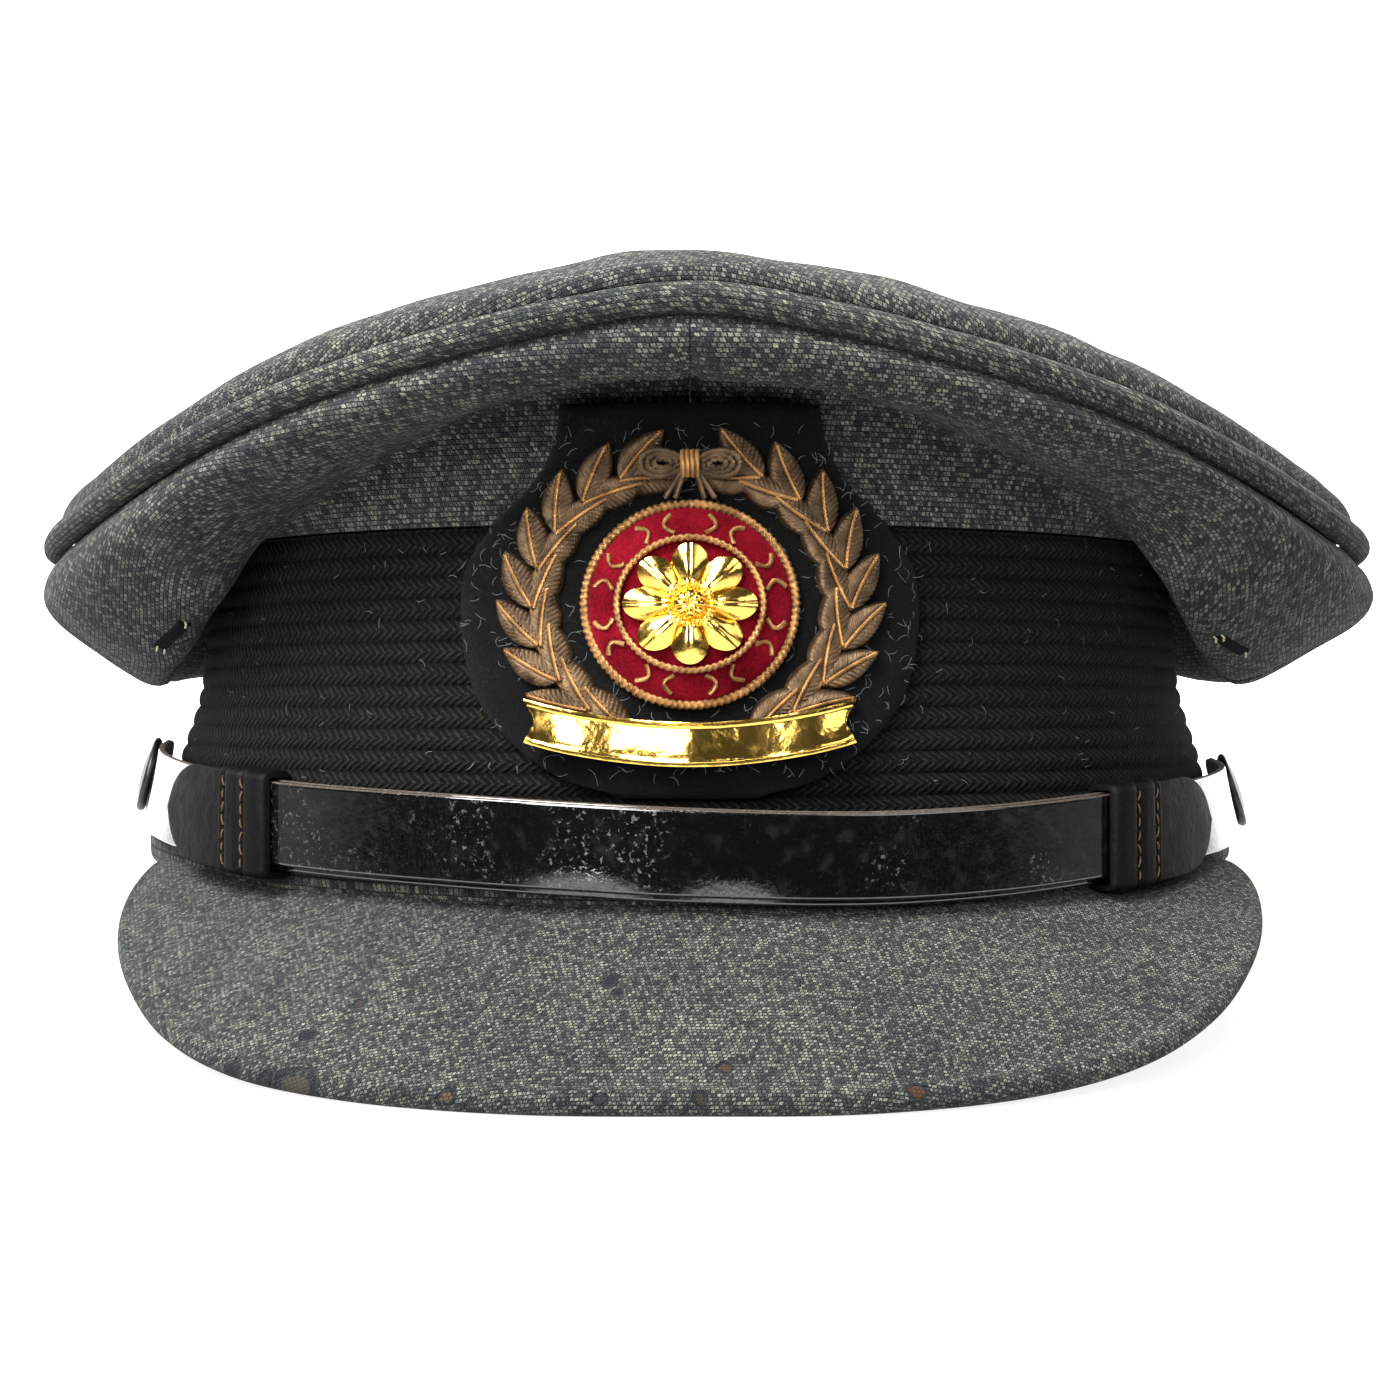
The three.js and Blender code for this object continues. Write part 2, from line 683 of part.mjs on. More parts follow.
// Point on the front of the cap, across and up, a distance off the patch's back
function badgePoint(x, z, lift) {
  const onBand = Math.min(z, BAND_HEIGHT);
  const share = onBand / BAND_HEIGHT;
  const halfWidth = bandFoot.halfWidth - BAND_LEAN_SIDE * along(BAND_LEAN, 'height', 'side', share);
  const halfLength = bandFoot.halfLength - BAND_LEAN_FRONT * along(BAND_LEAN, 'height', 'front', share);
  const turn = Math.asin(x / halfWidth);
  const creaseOut = crownFront.reach * CROWN[0].creaseOut;
  const creaseUp = FRONT_RISE * CROWN[0].creaseUp;
  const stand = creaseOut * Math.max(0, z - BAND_HEIGHT) / creaseUp;
  const out = outward(halfWidth, halfLength, THREE.MathUtils.radToDeg(turn));
  return point(x, -halfLength * Math.cos(turn), z).addScaledVector(out, PATCH_STANDOFF + stand + lift);
}

function patchGeometry() {
  const columns = 12;
  const rows = (lift) => PATCH.map(({ height, half }) => steps(-1, 1, columns).map((share) => badgePoint(
    share * half * PATCH_HALF_WIDTH,
    PATCH_FOOT + height * PATCH_HEIGHT,
    lift,
  )));
  return wall(rows(PATCH_WALL), rows(0), false);
}

const BADGE_SEAT = PATCH_WALL + GAP;

// Oval ring of leaves whose tips scallop its two edges
function wreathGeometry() {
  const stations = steps(0, 360, WREATH_LEAVES * 3).slice(0, WREATH_LEAVES * 3);
  return tube(stations.map((angle, i) => {
    const turn = THREE.MathUtils.degToRad(angle);
    const breadth = WREATH_BREADTH * [0.78, 1, 0.88][i % 3];
    const ringPoint = (out, lift) => badgePoint(
      (WREATH_HALF_WIDTH - WREATH_BREADTH / 2 + out) * Math.sin(turn),
      WREATH_CENTRE + (WREATH_HALF_HEIGHT - WREATH_BREADTH / 2 + out) * Math.cos(turn),
      BADGE_SEAT + lift,
    );
    return [
      ringPoint(-breadth / 2, 0),
      ringPoint(breadth / 2, 0),
      ringPoint(0, WREATH_THICKNESS),
    ];
  }));
}

// Disc on the badge: rows from a rim radius inwards, each with its height off the seat
function badgeDisc(seat, sides, rimAt, profile) {
  const angles = steps(0, 360, sides).slice(0, sides);
  const row = (angle, raised) => profile.map(({ inward, height }) => {
    const radius = rimAt(angle) * (1 - inward);
    const turn = THREE.MathUtils.degToRad(angle);
    return badgePoint(
      radius * Math.sin(turn),
      WREATH_CENTRE + radius * Math.cos(turn),
      seat + (raised ? height : 0),
    );
  });
  return wall(angles.map((angle) => row(angle, true)), angles.map((angle) => row(angle, false)), true);
}

function cushionGeometry() {
  const dome = steps(0, 1, 4).map((inward) => ({
    inward,
    height: CUSHION_HEIGHT * Math.sqrt(1 - (1 - inward) ** 2) * 0.75 + CUSHION_HEIGHT * 0.25,
  }));
  return badgeDisc(BADGE_SEAT, 28, () => CUSHION_RADIUS, dome);
}

function rosetteGeometry() {
  const petal = (angle) => {
    const swell = Math.abs(Math.cos(THREE.MathUtils.degToRad(angle * ROSETTE_PETALS / 2)));
    return ROSETTE_RADIUS * (0.78 + 0.22 * swell);
  };
  const bowl = table(
    ['inward', 'height'],
    [0, ROSETTE_THICKNESS * 0.4],
    [0.35, ROSETTE_THICKNESS],
    [0.65, ROSETTE_THICKNESS * 0.8],
    [0.75, ROSETTE_THICKNESS * 1.5],
    [1, ROSETTE_THICKNESS * 1.9],
  );
  return badgeDisc(BADGE_SEAT + CUSHION_HEIGHT + GAP, ROSETTE_PETALS * 6, petal, bowl);
}

// Flat ribbon on the badge along a line of stations across it
function badgeRibbon(stations, seat, thickness) {
  const rows = (lift) => stations.map(({ x, z, half }) => [
    badgePoint(x, z - half, seat + lift),
    badgePoint(x, z + half, seat + lift),
  ]);
  return wall(rows(thickness), rows(0), false);
}

function scrollGeometry() {
  const height = WREATH_CENTRE - WREATH_HALF_HEIGHT + WREATH_BREADTH / 2;
  const stations = steps(-1, 1, 14).map((share) => ({
    x: share * SCROLL_HALF_WIDTH,
    z: height + SCROLL_DIP * share * share,
    half: SCROLL_BREADTH / 2,
  }));
  return badgeRibbon(stations, BADGE_SEAT + WREATH_THICKNESS + GAP, SCROLL_THICKNESS);
}

function bowGeometry() {
  const height = WREATH_CENTRE + WREATH_HALF_HEIGHT - WREATH_BREADTH / 2;
  const stations = steps(-1, 1, 8).map((share) => ({
    x: share * BOW_HALF_WIDTH,
    z: height,
    half: BOW_BREADTH / 2 * (0.45 + 0.55 * Math.sin(Math.PI * Math.abs(share)) ** 2),
  }));
  return badgeRibbon(stations, BADGE_SEAT + WREATH_THICKNESS + GAP, BOW_THICKNESS);
}

// The whole cap in its own frame
const cap = new THREE.Group();

function addPiece(name, geometry, material) {
  const piece = new THREE.Mesh(geometry, material);
  piece.name = name;
  cap.add(piece);
}

addPiece('band', bandGeometry(), BAND_BLACK);
addPiece('hem', hemGeometry(), CLOTH_BLUE);
addPiece('quarter_front_left', quarterGeometry(-SIDE_SEAM_ANGLE, 0), CLOTH_BLUE);
addPiece('quarter_front_right', quarterGeometry(0, SIDE_SEAM_ANGLE), CLOTH_BLUE);
addPiece('quarter_back_left', quarterGeometry(-180, -SIDE_SEAM_ANGLE), CLOTH_BLUE);
addPiece('quarter_back_right', quarterGeometry(SIDE_SEAM_ANGLE, 180), CLOTH_BLUE);
addPiece('crown_welt', weltGeometry(), CLOTH_BLUE);
addPiece('crown_top', topGeometry(), CLOTH_BLUE);
addPiece('peak', peakGeometry(), CLOTH_BLUE);
addPiece('strap_left', strapGeometry(-1, -UNDER_STRAP_SAG, UNDER_STRAP_TOP, 0), PATENT_BLACK);
addPiece('strap_right', strapGeometry(1, 0, STRAP_WIDTH, UPPER_NEAR), PATENT_BLACK);
addPiece('keeper_left', keeperGeometry(-1), PATENT_BLACK);
addPiece('keeper_right', keeperGeometry(1), PATENT_BLACK);
addPiece('button_left', buttonGeometry(-1, STRAP_WALL + GAP), BUTTON_BLACK);
addPiece('button_right', buttonGeometry(1, UPPER_FAR + GAP), BUTTON_BLACK);
addPiece('badge_patch', patchGeometry(), FELT_BLACK);
addPiece('badge_wreath', wreathGeometry(), BULLION);
addPiece('badge_cushion', cushionGeometry(), VELVET_RED);
addPiece('badge_rosette', rosetteGeometry(), GILT);
addPiece('badge_scroll', scrollGeometry(), GILT);
addPiece('badge_bow', bowGeometry(), BULLION);

// Lowest height of the cap's front or back half once it is tipped back by an angle
function lowest(places, tilt, side) {
  return places
    .filter((place) => place.y * side > 0)
    .reduce((low, { y, z }) => Math.min(low, z * Math.cos(tilt) - y * Math.sin(tilt)), Infinity);
}

// Tip the cap back until the peak's edge and the back of the foot lie on one level
function restingTilt(places) {
  let low = 0;
  let high = THREE.MathUtils.degToRad(30);
  for (let i = 0; i < 40; i += 1) {
    const tilt = (low + high) / 2;
    if (lowest(places, tilt, -1) < lowest(places, tilt, 1)) {
      low = tilt;
    } else {
      high = tilt;
    }
  }
  return low;
}

const places = cap.children.flatMap((piece) => pointsOf(piece.geometry));
cap.rotation.x = -restingTilt(places);
cap.updateMatrixWorld(true);
const tippedPlaces = places.map((place) => place.clone().applyMatrix4(cap.matrixWorld));
const box = new THREE.Box3().setFromPoints(tippedPlaces);
const middle = box.getCenter(point(0, 0, 0));
cap.position.set(-middle.x, -middle.y, -box.min.z);

const model = new THREE.Group();
model.add(cap);

export default model;
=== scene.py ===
"""Looks of the peaked service cap: modelled pieces, finishes, light, floor and camera.

Shapes are worked out in the cap's own frame, in millimetres: X to the viewer's right, the peak
towards -Y, +Z up, the origin at the middle of the band's foot. Angles run round the cap from the
front in degrees, positive to the viewer's right. One matrix then sets everything down at rest.
"""

import json
import math

import bmesh
import bpy
import numpy as np
from mathutils import Matrix, Vector


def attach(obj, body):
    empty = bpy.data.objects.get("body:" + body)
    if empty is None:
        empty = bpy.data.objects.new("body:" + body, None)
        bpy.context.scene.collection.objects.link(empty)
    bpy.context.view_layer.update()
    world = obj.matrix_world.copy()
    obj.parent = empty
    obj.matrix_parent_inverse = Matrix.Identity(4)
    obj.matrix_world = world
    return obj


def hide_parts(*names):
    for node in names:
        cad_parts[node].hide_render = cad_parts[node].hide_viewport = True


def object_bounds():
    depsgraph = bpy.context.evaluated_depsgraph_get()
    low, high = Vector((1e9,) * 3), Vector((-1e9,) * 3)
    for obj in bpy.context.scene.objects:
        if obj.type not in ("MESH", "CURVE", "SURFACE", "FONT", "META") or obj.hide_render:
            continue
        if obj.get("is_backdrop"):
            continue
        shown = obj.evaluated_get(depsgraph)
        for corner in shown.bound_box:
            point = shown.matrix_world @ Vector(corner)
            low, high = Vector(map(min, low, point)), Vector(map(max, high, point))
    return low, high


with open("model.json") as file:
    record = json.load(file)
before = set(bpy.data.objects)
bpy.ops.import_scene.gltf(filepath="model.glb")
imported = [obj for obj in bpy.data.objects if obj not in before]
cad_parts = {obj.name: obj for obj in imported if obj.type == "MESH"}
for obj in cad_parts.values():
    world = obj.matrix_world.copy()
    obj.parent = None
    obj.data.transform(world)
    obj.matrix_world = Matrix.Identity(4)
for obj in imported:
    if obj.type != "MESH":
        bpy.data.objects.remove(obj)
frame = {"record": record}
cad_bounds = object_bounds()

MM = 0.001

# Sizes of the CAD model, in millimetres

GAP = 0.3
HEAD_WIDTH = 170
HEAD_LENGTH = 194
BAND_WALL = 2.6
BAND_HEIGHT = 52.5
BAND_LEAN_SIDE = 7.2
BAND_LEAN_FRONT = 3.0
FOOT_ARCH = 2.6
HEM_WALL = 2.4
HEM_HEIGHT = 5.4
CLOTH = 2.0
CROWN_HALF_WIDTH = 108.6
CROWN_HALF_LENGTH = 121.5
CROWN_BACKSET = 3.5
CROWN_SWAY = 2.9
FRONT_RISE = 28.4
WELT_RADIUS = 2.1
TOP_PUFF = 7.6
TOP_CENTRE_RISE = 25.5
SIDE_SEAM_ANGLE = 75
PEAK_HALF_WIDTH = 85
PEAK_FRONT = 131
PEAK_DROP = 21.6
PEAK_WALL = 3.8
PEAK_BULGE = 1.6
PEAK_SKEW = 1.3
PEAK_ROOT_ANGLE = 67
PEAK_TUCK = 1.2
STRAP_WIDTH = 11.8
STRAP_WALL = 1.2
STRAP_RISE = 10
STRAP_END_ANGLE = 85
UNDER_STRAP_WIDTH = 12.9
UNDER_STRAP_SAG = 0.9
KEEPER_WALL = 1.1
KEEPER_INNER_ANGLE = 38.8
KEEPER_LOOP_ANGLE = 45.2
KEEPER_TAB_ANGLE = 54.5
BUTTON_RADIUS = 6.25
BUTTON_HEIGHT = 2.1
BUTTON_ANGLE = 80
PATCH_WALL = 1.5
PATCH_HALF_WIDTH = 31
PATCH_FOOT = 15
PATCH_HEIGHT = 54
PATCH_STANDOFF = 1
WREATH_HALF_WIDTH = 24.5
WREATH_HALF_HEIGHT = 23
WREATH_BREADTH = 8
WREATH_THICKNESS = 2.2
WREATH_CENTRE = 41.5
CUSHION_RADIUS = 14
CUSHION_HEIGHT = 4.2
ROSETTE_RADIUS = 8.2
ROSETTE_THICKNESS = 1.6
ROSETTE_PETALS = 8
SCROLL_HALF_WIDTH = 21
SCROLL_BREADTH = 6
SCROLL_THICKNESS = 1.2
SCROLL_DIP = 3.2
BOW_HALF_WIDTH = 6.4

# Details that only the looks have, in millimetres

RIB_PITCH = 3.06
RIB_DEPTH = 0.55
SEAM_DEPTH = 1.0
SEAM_SPREAD = 1.1
LIP_DEPTH = 1.1
VENT_LIP = 0.6
STITCH_ANGLES = (41.6, 44.2)
RIGHT_LIFT = 3.4
PEAK_LEFT_SAG = 1.2
LEVEL_PER_DEGREE = math.pi / 180 * 95

# Lower and upper end of the slit in each front panel: angle round the cap, length up from the band
VENT_SLITS = {
    "quarter_front_left": ((-59.2, 23.4), (-54.2, 18.8)),
    "quarter_front_right": ((62.5, 27.2), (57.4, 20.9)),
}

# Where the photograph was taken from, in the cap's frame

CAMERA_DISTANCE = 490
CAMERA_HEIGHT = 28.5
PICTURE_SIDE = 1400
PICTURE_FOCAL = 2863
PICTURE_CENTRE = 690


def table(columns, *rows):
    """Columns of numbers by name. The first column is the one that the rows are looked up by."""
    return dict(zip(columns.split(), np.array(rows, float).T))


BAND_LEAN = table(
    "height side front",
    (0, 0, 0),
    (0.18, 0.08, 0.1),
    (0.37, 0.35, 0.27),
    (0.55, 0.76, 0.6),
    (0.75, 0.94, 0.87),
    (1, 1, 1),
)

FOOT = table(
    "angle lift",
    (0, 0),
    (40, 0.3),
    (75, 1),
    (100, 0.9),
    (127.5, 0.25),
    (150, 0),
    (180, 0),
)

CROWN = table(
    "angle welt crease_out crease_up hang_out hang_up belly_out belly_up bulge_out bulge_up puff",
    (0, 1, 0.12, 0.72, 0.5, 0.68, 0.86, 0.65, 1.05, 0.8, 0.8),
    (10, 0.915, 0.12, 0.67, 0.5, 0.64, 0.86, 0.61, 1.05, 0.74, 0.88),
    (20, 0.78, 0.11, 0.55, 0.48, 0.5, 0.84, 0.49, 1.05, 0.61, 0.98),
    (27, 0.675, 0.11, 0.43, 0.46, 0.36, 0.82, 0.36, 1.05, 0.49, 1.04),
    (33, 0.577, 0.1, 0.32, 0.44, 0.24, 0.8, 0.24, 1.06, 0.37, 1.1),
    (40, 0.445, 0.1, 0.17, 0.42, 0.08, 0.78, 0.08, 1.06, 0.22, 1.14),
    (45, 0.35, 0.1, 0.08, 0.4, -0.09, 0.77, -0.08, 1.06, 0.1, 1.16),
    (50, 0.262, 0.1, 0.02, 0.38, -0.27, 0.76, -0.22, 1.07, -0.01, 1.18),
    (56, 0.165, 0.1, -0.03, 0.36, -0.48, 0.75, -0.38, 1.07, -0.13, 1.18),
    (64, 0.08, 0.1, -0.06, 0.33, -0.66, 0.75, -0.52, 1.08, -0.24, 1.16),
    (76, 0.02, 0.1, -0.07, 0.32, -0.73, 0.76, -0.56, 1.08, -0.3, 1.1),
    (95, 0.01, 0.1, -0.07, 0.32, -0.72, 0.76, -0.57, 1.08, -0.31, 1.05),
    (120, 0.05, 0.1, -0.05, 0.33, -0.6, 0.76, -0.5, 1.07, -0.25, 1),
    (150, 0.14, 0.1, 0.02, 0.35, -0.36, 0.76, -0.3, 1.06, -0.08, 1),
    (180, 0.19, 0.1, 0.06, 0.36, -0.24, 0.76, -0.22, 1.05, -0.01, 1),
)

TOP = table(
    "inward puff level",
    (0, 0, 0),
    (0.02, 0.38, 0),
    (0.055, 0.74, 0.01),
    (0.12, 1, 0.04),
    (0.28, 0.92, 0.25),
    (0.55, 0.5, 0.66),
    (0.8, 0.15, 0.93),
    (1, 0, 1),
)

PEAK_EDGE = table(
    "side ahead drop",
    (0, 1, 1),
    (0.28, 0.99, 0.99),
    (0.535, 0.915, 0.94),
    (0.72, 0.805, 0.83),
    (0.85, 0.67, 0.65),
    (0.93, 0.53, 0.44),
    (0.977, 0.385, 0.26),
    (0.995, 0.22, 0.11),
)

# Height at which the peak's cloth meets the strap's lower edge, over the turn round the head
PEAK_SEAT = table(
    "angle height",
    (0, 0.9),
    (10, 0.4),
    (20, 0.45),
    (30, 1.15),
    (36, 1.3),
    (42, 1.4),
    (46, 1.8),
    (50, 2.5),
    (54, 3.1),
    (58, 3.6),
    (62, 3.9),
    (66, 3.9),
    (180, 3.9),
)

STRAP = table(
    "angle rise lean standoff",
    (-90, 1.05, 16, 0.44),
    (-80, 1, 15, 0.5),
    (-66, 0.83, 9, 0.82),
    (-50, 0.63, 3, 1),
    (-38, 0.5, 0, 1),
    (-20, 0.36, 0, 1),
    (0, 0.2, 0, 1),
    (15, 0.14, 0, 1),
    (27, 0.2, 0, 1),
    (38, 0.32, 0, 1),
    (50, 0.44, 3, 1),
    (66, 0.58, 10, 0.72),
    (80, 0.69, 18, 0.3),
    (90, 0.7, 19, 0.24),
)

PATCH = table(
    "height half",
    (0, 0.3),
    (0.04, 0.52),
    (0.12, 0.74),
    (0.24, 0.92),
    (0.4, 1),
    (0.58, 0.99),
    (0.7, 0.86),
    (0.8, 0.68),
    (0.9, 0.58),
    (1, 0.55),
)

# Curves and frames of the cap's shape


def along(rows, name, place):
    """Smooth value of one column of a table at places between its rows."""
    at = next(iter(rows.values()))
    value = rows[name]
    place = np.asarray(place, float)
    slope = np.zeros_like(value)
    slope[1:-1] = (value[2:] - value[:-2]) / (at[2:] - at[:-2])
    i = np.clip(np.searchsorted(at, place) - 1, 0, len(at) - 2)
    span = at[i + 1] - at[i]
    t = np.clip((place - at[i]) / span, 0, 1)
    eased = value[i] + t * t * (3 - 2 * t) * (value[i + 1] - value[i])
    return eased + t * (1 - t) ** 2 * slope[i] * span - t * t * (1 - t) * slope[i + 1] * span


def stack(x, y, z):
    return np.stack(np.broadcast_arrays(np.asarray(x, float), y, z), -1)


def unit(vectors):
    return vectors / np.linalg.norm(vectors, axis=-1, keepdims=True)


def oval(half_width, half_length, angle, z):
    turn = np.radians(angle)
    return stack(half_width * np.sin(turn), -half_length * np.cos(turn), z)


def outward(half_width, half_length, angle):
    """Level direction square to such an oval, away from the cap."""
    turn = np.radians(angle)
    return unit(stack(np.sin(turn) / half_width, -np.cos(turn) / half_length, 0))


def catmull(knots, count):
    """Evenly spaced points on smooth curves through knots, one curve for each row of them."""
    ends = [2 * knots[:, :1] - knots[:, 1:2], knots, 2 * knots[:, -1:] - knots[:, -2:-1]]
    full = np.concatenate(ends, 1)
    root = np.linalg.norm(np.diff(full, axis=1), axis=-1, keepdims=True) ** 0.5
    dense = []
    for k in range(knots.shape[1] - 1):
        a, b, c, d = (full[:, k + n] for n in range(4))
        before, here, after = (root[:, k + n] for n in range(3))
        start = ((b - a) / before - (c - a) / (before + here) + (c - b) / here) * here
        end = ((c - b) / here - (d - b) / (here + after) + (d - c) / after) * here
        for t in np.arange(24) / 24:
            cubic = (2 * b - 2 * c + start + end) * t**3 + (3 * c - 3 * b - 2 * start - end) * t**2
            dense.append(cubic + start * t + b)
    dense.append(full[:, -2])
    dense = np.stack(dense, 1)
    return np.stack([even(curve, count) for curve in dense])


def lengths(points):
    """Distance along a row of points to each of them."""
    step = np.linalg.norm(np.diff(points, axis=-2), axis=-1)
    return np.concatenate([np.zeros_like(step[..., :1]), np.cumsum(step, -1)], -1)


def even(points, count):
    """The same line with evenly spaced points."""
    place = lengths(points)
    wanted = np.linspace(0, place[-1], count)
    return np.stack([np.interp(wanted, place, points[:, axis]) for axis in range(points.shape[1])], -1)


def ripple(a, b, seed):
    """Soft uneven waves over two coordinates in millimetres, from -1 to 1."""
    rng = np.random.default_rng(seed)
    total = 0
    for size in (46, 31, 22, 15):
        turn, start, other = rng.uniform(0, 2 * np.pi, 3)
        wave = np.sin((a * np.cos(turn) + b * np.sin(turn)) * 2 * np.pi / size + start)
        total = total + wave * np.cos((a * np.sin(turn) - b * np.cos(turn)) * 4 / size + other)
    return total / 4


band_foot = (HEAD_WIDTH / 2 + BAND_WALL, HEAD_LENGTH / 2 + BAND_WALL)
band_top = (band_foot[0] - BAND_LEAN_SIDE, band_foot[1] - BAND_LEAN_FRONT)


def foot_height(angle):
    return FOOT_ARCH * along(FOOT, "lift", np.abs(angle))


def band_point(angle, z, out):
    share = z / BAND_HEIGHT
    half_width = band_foot[0] - BAND_LEAN_SIDE * along(BAND_LEAN, "side", share)
    half_length = band_foot[1] - BAND_LEAN_FRONT * along(BAND_LEAN, "front", share)
    return oval(half_width + out, half_length + out, angle, z)


def welt_point(angle):
    turn = np.radians(angle)
    return stack(
        CROWN_HALF_WIDTH * np.sin(turn) + CROWN_SWAY * np.sin(turn) ** 2,
        CROWN_BACKSET - CROWN_HALF_LENGTH * np.cos(turn),
        BAND_HEIGHT + FRONT_RISE * along(CROWN, "welt", np.abs(angle)),
    )


def crown_frame(angle):
    """Where each crown section starts, the welt, the level way to it and its length."""
    start = oval(*band_top, angle, BAND_HEIGHT)
    welt = welt_point(angle)
    way = (welt - start) * [1, 1, 0]
    reach = np.linalg.norm(way, axis=-1)
    return start, welt, way / reach[:, None], reach


def quarter_profiles(angle, count):
    """Crown sections below the welt, as distances out and up from the band's top edge."""
    _, welt, _, reach = crown_frame(angle)
    lift = RIGHT_LIFT * np.exp(-(((angle - 43) / 13) ** 2))
    knots = [np.stack([0 * reach, 0 * reach + GAP], -1)]
    for name, share in (("crease", 0.5), ("hang", 1), ("belly", 1), ("bulge", 0.4)):
        out = reach * along(CROWN, name + "_out", np.abs(angle))
        up = FRONT_RISE * along(CROWN, name + "_up", np.abs(angle))
        knots.append(np.stack([out, up + share * lift], -1))
    lip_up = welt[:, 2] - BAND_HEIGHT - WELT_RADIUS - GAP / 2
    knots.append(np.stack([reach + 0.3 * WELT_RADIUS, lip_up], -1))
    return catmull(np.stack(knots, 1), count)


def strap_frame(angle):
    """Foot of the strap at angles, the way across it and the way out from its face."""
    lean = np.radians(along(STRAP, "lean", angle))[..., None]
    standoff = STRAP_STANDOFF * along(STRAP, "standoff", angle)
    half_width = band_foot[0] + standoff
    half_length = band_foot[1] + standoff
    out = outward(half_width, half_length, angle)
    up = np.array([0, 0, 1.0])
    foot = oval(half_width, half_length, angle, STRAP_RISE * along(STRAP, "rise", angle))
    across = up * np.cos(lean) - out * np.sin(lean)
    return foot, across, out * np.cos(lean) + up * np.sin(lean)


def strap_point(angle, across, lift):
    foot, way, out = strap_frame(np.asarray(angle, float))
    return foot + way * np.asarray(across)[..., None] + out * np.asarray(lift)[..., None]


STRAP_STANDOFF = GAP + HEM_WALL + GAP + KEEPER_WALL + GAP
UPPER_NEAR = STRAP_WALL + GAP
UPPER_FAR = UPPER_NEAR + STRAP_WALL
BADGE_SEAT = PATCH_WALL + GAP


def badge_point(x, z, lift):
    """Point on the front of the cap, across and up, a distance off the back of the badge's patch."""
    x, z, lift = np.broadcast_arrays(np.asarray(x, float), z, lift)
    share = np.minimum(z, BAND_HEIGHT) / BAND_HEIGHT
    half_width = band_foot[0] - BAND_LEAN_SIDE * along(BAND_LEAN, "side", share)
    half_length = band_foot[1] - BAND_LEAN_FRONT * along(BAND_LEAN, "front", share)
    turn = np.arcsin(x / half_width)
    reach = crown_frame(np.zeros(1))[3][0]
    rise = FRONT_RISE * CROWN["crease_up"][0]
    stand = reach * CROWN["crease_out"][0] * np.maximum(0, z - BAND_HEIGHT) / rise
    out = outward(half_width, half_length, np.degrees(turn))
    seat = stack(x, -half_length * np.cos(turn), z)
    return seat + out * (PATCH_STANDOFF + stand + lift)[..., None]


# Meshes


def rest_matrix():
    """From the cap's frame in millimetres to the row frame in metres, by the mount at the nape."""
    mount = frame["record"]["mounts"][0]
    tilt = math.atan2(-mount["axis"][1], -mount["axis"][2])
    turn = Matrix.Rotation(-tilt, 4, "X")
    rim = Vector((0, (HEAD_LENGTH + BAND_WALL) / 2, 0))
    shift = Vector(mount["pos_m"]) / MM - turn @ rim
    return Matrix.Scale(MM, 4) @ Matrix.Translation(shift) @ turn


CAP_TO_ROW = rest_matrix()


class Piece:
    """One piece's mesh, gathered from grids of points in the cap's frame."""

    def __init__(self):
        self.points = []
        self.faces = []
        self.flats = []
        self.slots = []
        self.count = 0

    def grid(self, points, flat, ring=False, loop=False, slots=0):
        """Adds a grid. flat has its place on the flat cloth in millimetres, with one more row or
        column where the grid joins up with itself. slots is a material index for each column."""
        rows, columns = points.shape[:2]
        cells = np.meshgrid(
            np.arange(rows if ring else rows - 1),
            np.arange(columns if loop else columns - 1),
            indexing="ij",
        )
        i, j = (cell.ravel() for cell in cells)
        corners = [(i, j), (i + 1, j), (i + 1, j + 1), (i, j + 1)]
        index = [self.count + (a % rows) * columns + b % columns for a, b in corners]
        self.faces.append(np.stack(index, -1))
        self.flats.append(np.stack([flat[a, b] for a, b in corners], 1))
        slot = np.broadcast_to(slots, (columns,))[j % columns]
        self.slots.append(slot)
        self.points.append(points.reshape(-1, 3))
        self.count += rows * columns

    def wall(self, face, back, flat, ring=False):
        """Adds a wall between a face and its back, closed all round."""
        both = np.concatenate([face, back[:, ::-1]], 1)
        paired = np.concatenate([flat, flat[:, ::-1], flat[:, :1]], 1)
        self.grid(both, paired, ring=ring, loop=True)
        if not ring:
            for end in (0, -1):
                self.grid(np.stack([face[end], back[end]]), np.stack([flat[end], flat[end]]))

    def build(self, name, materials, node=None):
        mesh = bpy.data.meshes.new(name)
        faces = np.concatenate(self.faces)
        points = np.concatenate(self.points)
        mesh.vertices.add(len(points))
        mesh.vertices.foreach_set("co", points.ravel())
        mesh.loops.add(faces.size)
        mesh.loops.foreach_set("vertex_index", faces.ravel())
        mesh.polygons.add(len(faces))
        mesh.polygons.foreach_set("loop_start", np.arange(len(faces)) * 4)
        mesh.polygons.foreach_set("material_index", np.concatenate(self.slots))
        layer = mesh.uv_layers.new(name="Cloth")
        layer.data.foreach_set("uv", np.concatenate(self.flats).ravel())
        mesh.update(calc_edges=True)
        tidy_mesh(mesh)
        mesh.transform(CAP_TO_ROW)
        mesh.polygons.foreach_set("use_smooth", np.ones(len(mesh.polygons), bool))
        mesh.set_sharp_from_angle(angle=math.radians(55))
        for material in materials:
            mesh.materials.append(material)
        piece = bpy.data.objects.new(name, mesh)
        bpy.context.scene.collection.objects.link(piece)
        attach(piece, "root")
        if node:
            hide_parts(node)
        return piece


